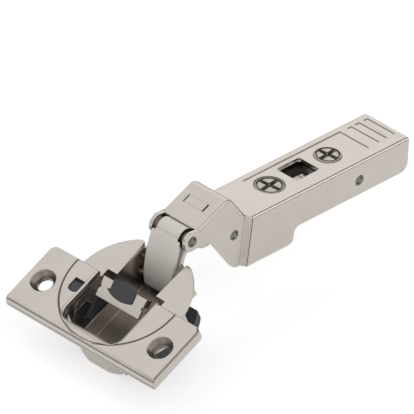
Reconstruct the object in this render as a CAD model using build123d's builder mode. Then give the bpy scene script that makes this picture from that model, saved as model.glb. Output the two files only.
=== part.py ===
from build123d import *
from math import atan2, cos, degrees, hypot, radians, sin, tan
import os

# Concealed cup hinge for a furniture door, half overlay, shown fully open.
# All lengths are millimetres. The origin is the middle of the seat, the plane
# on which the carrier's two rails stand on the mounting plate. +X runs along
# the arm to its rear end, +Z is square to the arm's top, and Y is across.

# Steel and clearances
arm_wall = 1.2
carrier_wall = 1.2
pin_play = 0.05
press_play = 0.02
slide_play = 0.12
part_gap = 0.3
rivet_stand = 0.12

# Arm
arm_top = 9.8
arm_rear = 28.0
arm_width = 17.4
arm_edge_radius = 0.95
wall_foot = -0.8
rear_corner_radius = 2.75
deep_foot = -5.75
deep_rear = -17.3
deep_corner_radius = 2.0
deep_rear_lean = 0.4
nose_step = 1.7
nose_width = arm_width - 2 * nose_step
nose_edge_radius = 0.8
step_x = -34.1
step_length = 1.0
step_lean = 1.5

# Hood, the raised front of the arm
hood_front_x = -54.1
hood_front_z = 13.0
hood_rise = 24.0
hood_fall = 51.2
hood_foot_x = -35.04
hood_ridge_radius = 2.2
ear_radius = 3.0
belly_x = -49.35
belly_z = 7.5
chin_x = -39.07
chin_radius = 3.8

# Pins in the arm
arm_pin_radius = 1.5
front_pin_x = -56.1
front_pin_z = 10.2
mid_pin_x = -39.4
mid_pin_z = 5.35
rear_pin_x = 8.5
rear_pin_z = 3.94

# Adjusting screws
side_screw_x = -18.75
side_head_radius = 4.25
side_head_gap = 0.2
side_head_sink = 0.1
side_shank_radius = 2.2
side_shank_end = 2.0
cam_x = 4.3
cam_head_radius = 3.95
cam_head_stand = 0.3
cam_peg_radius = 1.2
cam_eccentric = 2.31
cam_turn = 60.0
flange_over = 0.65
flange_thickness = 0.55
drive_width = 1.5
drive_depth = 0.9
drive_rim = 0.7
depth_travel = 2.0

# Window in the arm's top
window_front = -11.5
window_rear = -2.5
window_width = 7.9
window_offset = 0.5
window_corner_radius = 1.0

# Pressed marks in the arm's top and hood
mark_width = 0.45
mark_depth = 0.3
grip_places = (19.95, 23.1, 26.3)
grip_left = 5.9
grip_right = -4.6
grip_hook = 1.2
rail_line_front = -22.9
rail_line_rear = 15.6
rail_line_y = 6.15
slat_near = 5.7
slat_far = 8.4
slat_left = 3.96
slat_right = -3.2
slat_rise = 0.15

# Carrier, the inner part that clips onto the mounting plate
carrier_front = -25.0
carrier_rear = 25.5
carrier_width = arm_width - 2 * (arm_wall + part_gap)
carrier_top = 7.0
web_thickness = 1.3
web_rear = 17.0
nut_size = 8.0
nut_height = 2.0
nut_corner_radius = 0.8
nut_gap = 0.1
carrier_foot_radius = 1.5
peg_play = 0.22
hook_radius = 1.7
hook_lip = 0.3
hook_x = -21.6
hook_z = 1.3
lever_pin_radius = 1.0
lever_pin_x = 20.5
lever_pin_z = 4.0
lever_width = 6.4
lever_eye_radius = 2.0
lever_thumb_reach = 5.2
lever_thumb_rise = 1.4
lever_thumb_drop = 1.6
lever_toe = 1.0
lever_leg_rear = 2.2
lever_hook_reach = 2.6
lever_hook_drop = 6.4
lever_hook_thickness = 1.2
lever_ease = 0.6

# Cup, in its own plane: v along the plate's depth, n out of the plate
cup_back_x = -59.342
cup_back_z = 7.385
cup_tilt = 26.67
plate_length = 56.7
plate_cover = 1.44
plate_back = 1.35
plate_height = 3.4
plate_skin = 1.2
plate_corner_radius = 2.0
plate_front_radius = 2.4
plate_edge_ease = 0.4
ring_mark_radius = 18.8
screw_spacing = 45.0
screw_line = -9.5
screw_hole_radius = 2.3
screw_sink_radius = 3.8
opening_width = 22.8
opening_front = -16.8
opening_corner_radius = 4.5
cup_radius = 17.5
cup_wall = 0.8
cup_front_cut = 0.4
cup_bottom_radius = 1.2
rim_width = 1.5
rim_thickness = 0.7
rim_front_cut = 0.7
rim_notch_width = 21.8
shelf_depth = 9.0
pan_back = 4.0
trough_play = 0.4
trough_depth = 14.8
trough_back_wall = 1.8
tail_notch_play = 0.6
tail_notch_depth = 9.8

# Links
link_gap = 0.5
link_strip = 1.4
front_eye_radius = 2.9
front_eye_notch = 1.1
outer_neck_rise = 0.6
outer_neck_front = 3.2
outer_neck_drop = 0.9
outer_bow_front = 4.75
outer_bow_drop = 7.2
outer_foot_inset = 0.3
outer_foot_rise = 1.7
outer_pin_inset = 5.45
outer_pin_depth = 11.67
outer_pin_radius = 1.25
outer_eye_radius = 2.6
inner_pin_inset = 2.79
inner_pin_depth = 7.43
inner_pin_radius = 1.0
inner_eye_radius = 1.8
inner_strip = 1.3
inner_rise_set = 0.4
inner_rise_start = 1.0
inner_rise_end = 3.6
inner_hug_front = 12.0
inner_hug_rear = 30.0
inner_knee_x = 6.1
inner_knee_drop = 1.7
inner_heel_x = 10.1
inner_heel_drop = 2.4
mid_slot_reach = 1.7
mid_slot_lift = 0.22
mid_slot_raise = 0.05
mid_slot_play = 0.68
mid_lug_wall = 1.0
mid_fork_reach = 0.9

# Soft-close parts in the cup
actuator_back_v = 0.6
actuator_back_n = 0.1
actuator_tilt = 30.7
actuator_length = 5.87
bracket_thickness = 0.8
skirt_length = 2.4
skirt_depth = 2.6
bracket_notch = 0.9
block_width = 8.6
block_bow = 0.9
block_lip = 0.8
block_top = 0.45
block_back = 0.9
block_length = 5.0
block_depth = 1.6
actuator_travel = 10.0
housing_depth = 15.75
bridge_thickness = 0.55
housing_inset = 7.1
housing_front_gap = 1.0
housing_skin_gap = 0.05
housing_step = 0.6
bridge_front = -12.0
bridge_back = 4.0
bridge_lap = 4.0
housing_back_depth = 12.3
cheek_thickness = 1.1
cheek_top = 1.6
cheek_front = -9.4
cheek_rear = 1.2
cheek_end_gap = 0.2
cheek_step_drop = 2.0
cheek_step_length = 2.6
shelf_hole_reach = 5.4
shelf_hole_front = -9.1
shelf_hole_back = -4.7
switch_window_u = -13.1
switch_window_width = 3.8
switch_window_front = -8.1
switch_window_back = -3.8
switch_travel = 0.8
switch_base = 1.0
switch_base_lap = 1.2
switch_sink = 0.2
mouth_lip = 1.0

# Sizes that follow from those above
link_width = nose_width - 2 * (arm_wall + link_gap)
trough_width = nose_width + 2 * trough_play
actuator_width = trough_width + 2 * cup_wall
tail_notch_width = link_width + 2 * tail_notch_play
trough_back = cup_radius - trough_back_wall
outer_pin_v = cup_radius - outer_pin_inset
inner_pin_v = cup_radius - inner_pin_inset
cup_flat = cup_front_cut - cup_radius
rim_radius = cup_radius + rim_width
rim_front = rim_front_cut - rim_radius
plate_front = rim_front - plate_cover
housing_back = cup_radius - housing_inset

# Frames of the cup, hung from the back of its wall
lean = radians(cup_tilt)
cup_x = cup_back_x - cup_radius * cos(lean)
cup_z = cup_back_z - cup_radius * sin(lean)
cup_plane = Plane(
    origin=(cup_x, 0, cup_z),
    x_dir=(cos(lean), 0, sin(lean)),
    z_dir=(-sin(lean), 0, cos(lean)),
)
cup_side = Plane(
    origin=(cup_x, 0, cup_z),
    x_dir=(cos(lean), 0, sin(lean)),
    z_dir=(0, -1, 0),
)


def cup_point(v, n):
    """Place in the side view of a point given in the cup's plane."""
    return (
        cup_x + v * cos(lean) - n * sin(lean),
        cup_z + v * sin(lean) + n * cos(lean),
    )


def hood_line(depth):
    """Front, ridge and foot of the hood, at a depth under its outer face."""
    rise = radians(hood_rise)
    fall = radians(hood_fall)
    front = (hood_front_x, hood_front_z - depth / cos(rise))
    foot_z = arm_top - depth
    foot_x = hood_foot_x - (depth / cos(fall) - depth) / tan(fall)
    ridge_x = (
        foot_z - front[1] + tan(fall) * foot_x + tan(rise) * front[0]
    ) / (tan(rise) + tan(fall))
    ridge_z = front[1] + tan(rise) * (ridge_x - front[0])
    return [front, (ridge_x, ridge_z), (foot_x, foot_z)]


# Arm: a bent steel channel, narrow and hooded at the front
with BuildPart() as nose_form:
    outer = hood_line(0)
    with BuildSketch(Plane.XZ) as nose_profile:
        with BuildLine():
            nose_outline = Polyline(
                (front_pin_x, front_pin_z + ear_radius),
                outer[0],
                outer[1],
                outer[2],
                (step_x + 1.0, arm_top - arm_edge_radius),
                (step_x + 1.0, deep_foot),
                (chin_x, deep_foot),
                (belly_x, belly_z),
                (front_pin_x, front_pin_z - ear_radius),
                close=True,
            )
        make_face()
        chin = nose_profile.vertices().sort_by_distance((chin_x, deep_foot, 0))[0]
        fillet(chin, chin_radius)
        ridge = nose_profile.vertices().sort_by_distance(outer[1] + (0,))[0]
        fillet(ridge, hood_ridge_radius)
        with Locations((front_pin_x, front_pin_z)):
            Circle(ear_radius)
    extrude(amount=nose_width / 2, both=True)
    # bend radius along both sides of the hood
    hood_top = nose_form.edges().filter_by_position(
        Axis.Y, nose_width / 2 - 0.01, nose_width / 2 + 0.01
    ) + nose_form.edges().filter_by_position(
        Axis.Y, -nose_width / 2 - 0.01, 0.01 - nose_width / 2
    )
    hood_top = [
        edge
        for edge in hood_top
        if edge.center().Z > (hood_front_z + arm_top) / 2
        and hood_front_x < edge.center().X < step_x - step_length
    ]
    fillet(hood_top, nose_edge_radius)

with BuildPart() as arm_shell:
    with BuildSketch(Plane.XZ) as channel_profile:
        with BuildLine():
            Polyline(
                (step_x - step_length, arm_top),
                (arm_rear, arm_top),
                (arm_rear, wall_foot),
                (deep_rear + deep_rear_lean, wall_foot),
                (deep_rear, deep_foot),
                (step_x - step_length - step_lean, deep_foot),
                close=True,
            )
        make_face()
        corners = channel_profile.vertices()
        fillet(corners.sort_by_distance((arm_rear, wall_foot, 0))[0], rear_corner_radius)
        corners = channel_profile.vertices()
        fillet(corners.sort_by_distance((deep_rear, deep_foot, 0))[0], deep_corner_radius)
        corners = channel_profile.vertices()
        fillet(corners.sort_by_distance((deep_rear, wall_foot, 0))[0], deep_corner_radius)
    extrude(amount=arm_width / 2, both=True)
    top_edges = arm_shell.edges().filter_by(Axis.X).group_by(Axis.Z)[-1]
    fillet(top_edges, arm_edge_radius)
    # the step where the channel narrows leans a little
    step_cut = (arm_width - nose_width) / 2
    with BuildSketch(Plane.XY.offset(arm_top)) as step_sketch:
        with Locations((step_x - step_length, nose_width / 2)):
            Polygon((0, 0), (step_length, step_cut), (-4, step_cut), (-4, 0), align=None)
        mirror(about=Plane.XZ)
    lean_way = Vector(-step_lean, 0, deep_foot - arm_top).normalized()
    extrude(amount=2 * (arm_top - deep_foot), dir=lean_way, mode=Mode.SUBTRACT)
    add(nose_form.part)
    # inside of the rear channel
    with BuildSketch(Plane.XZ):
        with BuildLine():
            Polyline(
                (step_x + 0.2, arm_top - arm_wall),
                (arm_rear + 1, arm_top - arm_wall),
                (arm_rear + 1, deep_foot - 1),
                (step_x + 0.2 - step_lean, deep_foot - 1),
                close=True,
            )
        make_face()
    extrude(amount=arm_width / 2 - arm_wall, both=True, mode=Mode.SUBTRACT)
    # inside of the nose, open in front of the hood
    inner = hood_line(arm_wall)
    with BuildSketch(Plane.XZ):
        with BuildLine():
            Polyline(
                (front_pin_x - 2 * ear_radius, hood_front_z + 2),
                (hood_front_x, hood_front_z + 2),
                inner[0],
                inner[1],
                inner[2],
                (step_x + 1, arm_top - arm_wall),
                (step_x + 1, deep_foot - 1),
                (front_pin_x - 2 * ear_radius, deep_foot - 1),
                close=True,
            )
        make_face()
        with Locations((front_pin_x, front_pin_z)):
            Circle(front_eye_radius + 0.1)
    extrude(amount=nose_width / 2 - arm_wall, both=True, mode=Mode.SUBTRACT)
    # screw holes and window in the top
    with BuildSketch(Plane.XY.offset(arm_top)) as top_holes:
        with Locations((side_screw_x, 0)):
            Circle(side_head_radius + side_head_gap)
        with Locations((cam_x, 0)):
            Circle(cam_head_radius + pin_play)
        with Locations(((window_front + window_rear) / 2, window_offset)):
            RectangleRounded(window_rear - window_front, window_width, window_corner_radius)
    extrude(amount=-2 * arm_wall, mode=Mode.SUBTRACT)
    # pressed marks: three grips at the rear, and an angled line beside the screws
    with BuildSketch(Plane.XY.offset(arm_top)):
        for grip in grip_places:
            with Locations((grip, (grip_left + grip_right) / 2)):
                Rectangle(mark_width, grip_left - grip_right)
            with Locations((grip - grip_hook / 2, grip_left)):
                Rectangle(grip_hook + mark_width, mark_width)
        with Locations(((rail_line_front + rail_line_rear) / 2, rail_line_y)):
            Rectangle(rail_line_rear - rail_line_front, mark_width)
        with Locations((rail_line_rear, (rail_line_y + grip_right) / 2)):
            Rectangle(mark_width, rail_line_y - grip_right + mark_width)
    extrude(amount=-mark_depth, mode=Mode.SUBTRACT)
    # a slat lifted between two slits in the hood
    hood_plane = Plane(
        origin=(hood_front_x, 0, hood_front_z),
        x_dir=(cos(radians(hood_rise)), 0, sin(radians(hood_rise))),
        z_dir=(-sin(radians(hood_rise)), 0, cos(radians(hood_rise))),
    )
    with BuildSketch(hood_plane):
        for slit in (slat_left, slat_right):
            with Locations(((slat_near + slat_far) / 2, slit)):
                Rectangle(slat_far - slat_near, mark_width)
    extrude(amount=-2 * arm_wall, mode=Mode.SUBTRACT)
    with BuildSketch(hood_plane):
        with Locations(((slat_near + slat_far) / 2, (slat_left + slat_right) / 2)):
            Rectangle(slat_far - slat_near, slat_left - slat_right - mark_width)
    extrude(amount=slat_rise)
    # pin holes through both walls
    with BuildSketch(Plane.XZ):
        with Locations((front_pin_x, front_pin_z), (mid_pin_x, mid_pin_z)):
            Circle(arm_pin_radius + press_play)
        with Locations((rear_pin_x, rear_pin_z)):
            Circle(arm_pin_radius + pin_play)
    extrude(amount=arm_width, both=True, mode=Mode.SUBTRACT)
arm_shell.part.label = "arm_shell"


def cross_pin(plane, x, z, radius, half_length):
    """Straight pin across the hinge."""
    with BuildPart() as pin:
        with BuildSketch(plane):
            with Locations((x, z)):
                Circle(radius)
        extrude(amount=half_length, both=True)
    return pin.part


nose_pin_half = nose_width / 2 + rivet_stand
front_pin = cross_pin(Plane.XZ, front_pin_x, front_pin_z, arm_pin_radius, nose_pin_half)
front_pin.label = "front_pin"
mid_pin = cross_pin(Plane.XZ, mid_pin_x, mid_pin_z, arm_pin_radius, nose_pin_half)
mid_pin.label = "mid_pin"
rear_pin_half = arm_width / 2 + rivet_stand
rear_pin = cross_pin(Plane.XZ, rear_pin_x, rear_pin_z, arm_pin_radius, rear_pin_half)
rear_pin.label = "rear_pin"

# Carrier: an inverted channel inside the arm
rail_inner = carrier_width / 2 - carrier_wall
web_under = carrier_top - web_thickness
with BuildPart() as carrier:
    with BuildSketch(Plane.XZ) as carrier_profile:
        with BuildLine():
            Polyline(
                (carrier_front, carrier_top),
                (carrier_rear, carrier_top),
                (carrier_rear, 0),
                (carrier_front, 0),
                close=True,
            )
        make_face()
        fillet(carrier_profile.vertices().group_by(Axis.Y)[0], carrier_foot_radius)
    extrude(amount=carrier_width / 2, both=True)
    with BuildSketch(Plane.XZ):
        with Locations(((carrier_front + carrier_rear) / 2, web_under / 2 - 1)):
            Rectangle(carrier_rear - carrier_front + 2, web_under + 2)
    extrude(amount=rail_inner, both=True, mode=Mode.SUBTRACT)
    # openings in the web
    with BuildSketch(Plane.XY.offset(carrier_top)):
        with Locations((side_screw_x, 0)):
            SlotCenterToCenter(
                2 * (depth_travel + pin_play), 2 * (side_shank_radius + slide_play)
            )
        with Locations(((window_front + window_rear) / 2, window_offset)):
            RectangleRounded(
                window_rear - window_front + depth_travel,
                window_width + 2 * part_gap,
                window_corner_radius,
            )
        peg_near = cam_eccentric * cos(radians(cam_turn))
        with Locations((cam_x, (peg_near + cam_eccentric) / 2)):
            SlotOverall(
                cam_eccentric - peg_near + 2 * (cam_peg_radius + peg_play),
                2 * (cam_peg_radius + peg_play),
                rotation=90,
            )
        with Locations(((web_rear + carrier_rear + 1) / 2, 0)):
            Rectangle(carrier_rear + 1 - web_rear, 2 * rail_inner)
    extrude(amount=-2 * web_thickness, mode=Mode.SUBTRACT)
    # slots for the rear pin, holes for the lever pin, hooks at the front
    with BuildSketch(Plane.XZ):
        with Locations((rear_pin_x, rear_pin_z)):
            SlotCenterToCenter(
                2 * (depth_travel + pin_play), 2 * (arm_pin_radius + pin_play)
            )
        with Locations((lever_pin_x, lever_pin_z)):
            Circle(lever_pin_radius + press_play)
        with Locations((hook_x, hook_z)):
            Circle(hook_radius)
        with Locations((hook_x, hook_z - hook_radius)):
            Rectangle(2 * (hook_radius - hook_lip), 2 * hook_radius)
    extrude(amount=carrier_width, both=True, mode=Mode.SUBTRACT)
carrier.part.label = "carrier"

lever_pin = cross_pin(
    Plane.XZ, lever_pin_x, lever_pin_z, lever_pin_radius, carrier_width / 2
)
lever_pin.label = "lever_pin"

# Clip lever: hooks under the rear edge of the mounting plate
with BuildPart() as clip_lever:
    with BuildSketch(Plane.XZ):
        with Locations((lever_pin_x, lever_pin_z)):
            Circle(lever_eye_radius)
        with BuildLine():
            lever_foot = lever_pin_z - lever_hook_drop
            Polyline(
                (lever_pin_x, lever_pin_z + lever_eye_radius),
                (lever_pin_x + lever_thumb_reach, lever_pin_z + lever_thumb_rise),
                (
                    lever_pin_x + lever_thumb_reach + lever_toe,
                    lever_pin_z - lever_thumb_drop,
                ),
                (
                    lever_pin_x + lever_thumb_reach - lever_ease,
                    lever_pin_z - lever_thumb_drop - lever_ease,
                ),
                (lever_pin_x + lever_leg_rear, lever_pin_z - lever_thumb_rise),
                (lever_pin_x + lever_leg_rear - lever_ease, lever_foot + lever_ease),
                (lever_pin_x - lever_hook_reach, lever_foot),
                (lever_pin_x - lever_hook_reach, lever_foot + lever_hook_thickness),
                (lever_pin_x - lever_ease, lever_foot + lever_leg_rear),
                (lever_pin_x - lever_thumb_rise, lever_pin_z - lever_thumb_rise),
                close=True,
            )
        make_face()
        with Locations((lever_pin_x, lever_pin_z)):
            Circle(lever_pin_radius + pin_play, mode=Mode.SUBTRACT)
    extrude(amount=lever_width / 2, both=True)
clip_lever.part.label = "clip_lever"

# Square nut that slides under the web with the side screw
with BuildPart() as adjust_nut:
    with BuildSketch(Plane.XY.offset(web_under - nut_gap)):
        with Locations((side_screw_x, 0)):
            RectangleRounded(nut_size, nut_size, nut_corner_radius)
            Circle(side_shank_radius + pin_play, mode=Mode.SUBTRACT)
    extrude(amount=-nut_height)
adjust_nut.part.label = "adjust_nut"


def cut_drive(x, top, radius):
    """Sketch of a cross recess with a round centre."""
    with BuildSketch(Plane.XY.offset(top)) as drive:
        with Locations((x, 0)):
            Rectangle(2 * radius, drive_width, rotation=45)
            Rectangle(drive_width, 2 * radius, rotation=45)
            Circle(drive_width * 0.85)
    return drive.sketch


flange_top = arm_top - arm_wall - pin_play
side_head_top = arm_top - side_head_sink
with BuildPart() as side_adjust_screw:
    with BuildSketch(Plane.XY.offset(flange_top)):
        with Locations((side_screw_x, 0)):
            Circle(side_head_radius + flange_over)
    extrude(amount=-flange_thickness)
    with BuildSketch(Plane.XY.offset(side_head_top)):
        with Locations((side_screw_x, 0)):
            Circle(side_head_radius)
    extrude(amount=flange_top - side_head_top)
    with BuildSketch(Plane.XY.offset(flange_top)):
        with Locations((side_screw_x, 0)):
            Circle(side_shank_radius)
    extrude(amount=side_shank_end - flange_top)
    add(cut_drive(side_screw_x, side_head_top, side_head_radius - drive_rim))
    extrude(amount=-drive_depth, mode=Mode.SUBTRACT)
side_adjust_screw.part.label = "side_adjust_screw"

cam_head_top = arm_top + cam_head_stand
with BuildPart() as depth_cam_screw:
    with BuildSketch(Plane.XY.offset(flange_top)):
        with Locations((cam_x, 0)):
            Circle(cam_head_radius + flange_over)
    extrude(amount=-flange_thickness)
    with BuildSketch(Plane.XY.offset(cam_head_top)):
        with Locations((cam_x, 0)):
            Circle(cam_head_radius)
    extrude(amount=flange_top - cam_head_top)
    with BuildSketch(Plane.XY.offset(flange_top)):
        with Locations((cam_x, cam_eccentric)):
            Circle(cam_peg_radius)
    extrude(amount=web_under + nut_gap - flange_top)
    add(cut_drive(cam_x, cam_head_top, cam_head_radius - drive_rim))
    extrude(amount=-drive_depth, mode=Mode.SUBTRACT)
depth_cam_screw.part.label = "depth_cam_screw"

# Links
outer_pin = cup_point(outer_pin_v, -outer_pin_depth)
inner_pin = cup_point(inner_pin_v, -inner_pin_depth)

with BuildPart() as outer_link:
    with BuildSketch(Plane.XZ):
        with BuildLine():
            neck = Line(
                (front_pin_x - front_eye_radius + link_strip / 2, front_pin_z + outer_neck_rise),
                (front_pin_x - outer_neck_front, front_pin_z - outer_neck_drop),
            )
            bow = ThreePointArc(
                neck @ 1,
                (front_pin_x - outer_bow_front, front_pin_z - outer_bow_drop),
                (
                    outer_pin[0] - outer_eye_radius + outer_foot_inset,
                    outer_pin[1] + outer_foot_rise,
                ),
            )
            Line(bow @ 1, (outer_pin[0] - outer_eye_radius + link_strip / 2, outer_pin[1]))
        trace(line_width=link_strip)
        with Locations((front_pin_x, front_pin_z)):
            Circle(front_eye_radius)
        with Locations(outer_pin):
            Circle(outer_eye_radius)
        with Locations((front_pin_x, front_pin_z)):
            Circle(arm_pin_radius + pin_play, mode=Mode.SUBTRACT)
        with Locations(outer_pin):
            Circle(outer_pin_radius + pin_play, mode=Mode.SUBTRACT)
    extrude(amount=link_width / 2, both=True)
    # the rolled eye in the ears is narrower than the strip
    eye_half = link_width / 2 - front_eye_notch
    for side in (-1, 1):
        with BuildSketch(Plane.XZ.offset(side * eye_half)):
            with Locations((front_pin_x, front_pin_z)):
                Circle(front_eye_radius + part_gap)
        extrude(amount=side * link_width, mode=Mode.SUBTRACT)
outer_link.part.label = "outer_link"

mid_slot = (mid_pin_x, mid_pin_z + mid_slot_raise)
slot_turn = degrees(atan2(mid_slot_lift, mid_slot_reach))
with BuildPart() as inner_link:
    with BuildSketch(Plane.XZ):
        with BuildLine():
            rise_line = Line(
                (inner_pin[0] + inner_rise_set, inner_pin[1] + inner_rise_start),
                (inner_pin[0] + inner_rise_set, inner_pin[1] + inner_rise_end),
            )
            hug = front_eye_radius + part_gap / 2 + inner_strip / 2
            under = (
                front_pin_x - hug * sin(radians(inner_hug_front)),
                front_pin_z - hug * cos(radians(inner_hug_front)),
            )
            past = (
                front_pin_x + hug * sin(radians(inner_hug_rear)),
                front_pin_z - hug * cos(radians(inner_hug_rear)),
            )
            Line(rise_line @ 1, under)
            RadiusArc(under, past, -hug)
            knee = (front_pin_x + inner_knee_x, front_pin_z - inner_knee_drop)
            heel = (front_pin_x + inner_heel_x, front_pin_z - inner_heel_drop)
            Line(past, knee)
            Line(knee, heel)
            Line(heel, mid_slot)
        trace(line_width=inner_strip)
        with Locations(inner_pin):
            Circle(inner_eye_radius)
        with Locations(mid_slot):
            SlotCenterToCenter(
                2 * hypot(mid_slot_reach, mid_slot_lift),
                2 * (arm_pin_radius + mid_slot_play + mid_lug_wall),
                rotation=slot_turn,
            )
        with Locations(inner_pin):
            Circle(inner_pin_radius + pin_play, mode=Mode.SUBTRACT)
        with Locations(mid_slot):
            SlotCenterToCenter(
                2 * hypot(mid_slot_reach, mid_slot_lift),
                2 * (arm_pin_radius + mid_slot_play),
                rotation=slot_turn,
                mode=Mode.SUBTRACT,
            )
        # the rear end is a fork, open behind the pin
        fork_cut = 4 * (arm_pin_radius + mid_slot_play + mid_lug_wall)
        with Locations((mid_pin_x + mid_fork_reach + fork_cut / 2, mid_pin_z)):
            Rectangle(fork_cut, fork_cut, mode=Mode.SUBTRACT)
    extrude(amount=link_width / 2, both=True)
inner_link.part.label = "inner_link"

# Cup pins, riveted through the trough's walls
trough_outer = trough_width / 2 + cup_wall
cup_pin_half = trough_outer + rivet_stand
outer_cup_pin = cross_pin(
    cup_side, outer_pin_v, -outer_pin_depth, outer_pin_radius, cup_pin_half
)
outer_cup_pin.label = "outer_cup_pin"
inner_cup_pin = cross_pin(
    cup_side, inner_pin_v, -inner_pin_depth, inner_pin_radius, cup_pin_half
)
inner_cup_pin.label = "inner_cup_pin"

# Cup shell: pan with two shelves, a deep trough between them, and a thin rim
rim_top = rim_thickness - plate_height
shelf_top = -shelf_depth
trough_floor = -trough_depth
cup_inner = cup_radius - cup_wall


def disc_between(radius, front, back):
    """Sketch of a disc kept between two lines across it."""
    with BuildSketch() as disc:
        Circle(radius)
        with Locations(((front + back) / 2, 0)):
            Rectangle(back - front, 4 * radius, mode=Mode.INTERSECT)
    return disc.sketch


with BuildPart() as cup_shell:
    with BuildSketch(cup_plane.offset(shelf_top - cup_wall)):
        add(disc_between(cup_radius, cup_flat, pan_back + cup_wall))
    extrude(amount=rim_top - shelf_top + cup_wall)
    with BuildSketch(cup_plane.offset(trough_floor - cup_wall)):
        add(disc_between(cup_radius, cup_flat, 2 * cup_radius))
        Rectangle(4 * cup_radius, 2 * trough_outer, mode=Mode.INTERSECT)
    extrude(amount=rim_top - trough_floor + cup_wall)
    bottom = cup_plane.from_local_coords((0, 0, trough_floor - cup_wall))
    deepest = cup_shell.faces().sort_by_distance(bottom)[0]
    straight = deepest.edges().filter_by(GeomType.LINE)
    long_edges = straight.sort_by(SortBy.LENGTH)[-2:]
    fillet(long_edges, cup_bottom_radius)
    with BuildSketch(cup_plane.offset(-plate_height)):
        add(disc_between(rim_radius, rim_front, 2 * rim_radius))
    extrude(amount=rim_thickness)
    # room in the pan, under the plate
    with BuildSketch(cup_plane.offset(shelf_top)):
        add(disc_between(cup_inner, cup_flat + cup_wall, pan_back))
    extrude(amount=-plate_height - shelf_top, mode=Mode.SUBTRACT)
    # mouth through the rim
    with BuildSketch(cup_plane.offset(-plate_height)):
        add(disc_between(cup_inner, cup_flat + cup_wall, plate_back - 0.4))
        with Locations((pan_back / 2, 0)):
            Rectangle(pan_back, rim_notch_width)
    extrude(amount=2 * rim_thickness, mode=Mode.SUBTRACT)
    # trough
    with BuildSketch(cup_plane.offset(trough_floor)):
        add(disc_between(cup_inner, cup_flat + cup_wall, trough_back))
        Rectangle(4 * cup_radius, trough_width, mode=Mode.INTERSECT)
    extrude(amount=rim_top - trough_floor, mode=Mode.SUBTRACT)
    # slot in the rim and notch in the back wall, where the links pass
    with BuildSketch(cup_plane.offset(-plate_height)):
        with Locations((rim_radius / 2 + 1, 0)):
            Rectangle(rim_radius + 2, trough_width)
    extrude(amount=2 * rim_thickness, mode=Mode.SUBTRACT)
    with BuildSketch(cup_plane.offset(-tail_notch_depth)):
        with Locations((cup_radius, 0)):
            Rectangle(4 * cup_wall + 2, tail_notch_width)
    extrude(amount=tail_notch_depth, mode=Mode.SUBTRACT)
    # holes in the shelves, over the damper housing
    cheek_near = trough_outer + slide_play
    cheek_far = cheek_near + cheek_thickness
    with BuildSketch(cup_plane.offset(shelf_top)):
        for side in (-1, 1):
            slot_middle = ((cheek_front + cheek_rear) / 2, side * (cheek_near + cheek_far) / 2)
            with Locations(slot_middle):
                Rectangle(cheek_rear - cheek_front, cheek_thickness + 2 * slide_play)
            hole_v = (shelf_hole_front + shelf_hole_back) / 2
            with Locations((hole_v, side * (cheek_near + shelf_hole_reach / 2))):
                Rectangle(shelf_hole_back - shelf_hole_front, shelf_hole_reach)
    extrude(amount=-2 * cup_wall, mode=Mode.SUBTRACT)
    # pin holes
    with BuildSketch(cup_side):
        with Locations((outer_pin_v, -outer_pin_depth)):
            Circle(outer_pin_radius + press_play)
        with Locations((inner_pin_v, -inner_pin_depth)):
            Circle(inner_pin_radius + press_play)
    extrude(amount=2 * trough_outer, both=True, mode=Mode.SUBTRACT)
cup_shell.part.label = "cup_shell"

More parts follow.
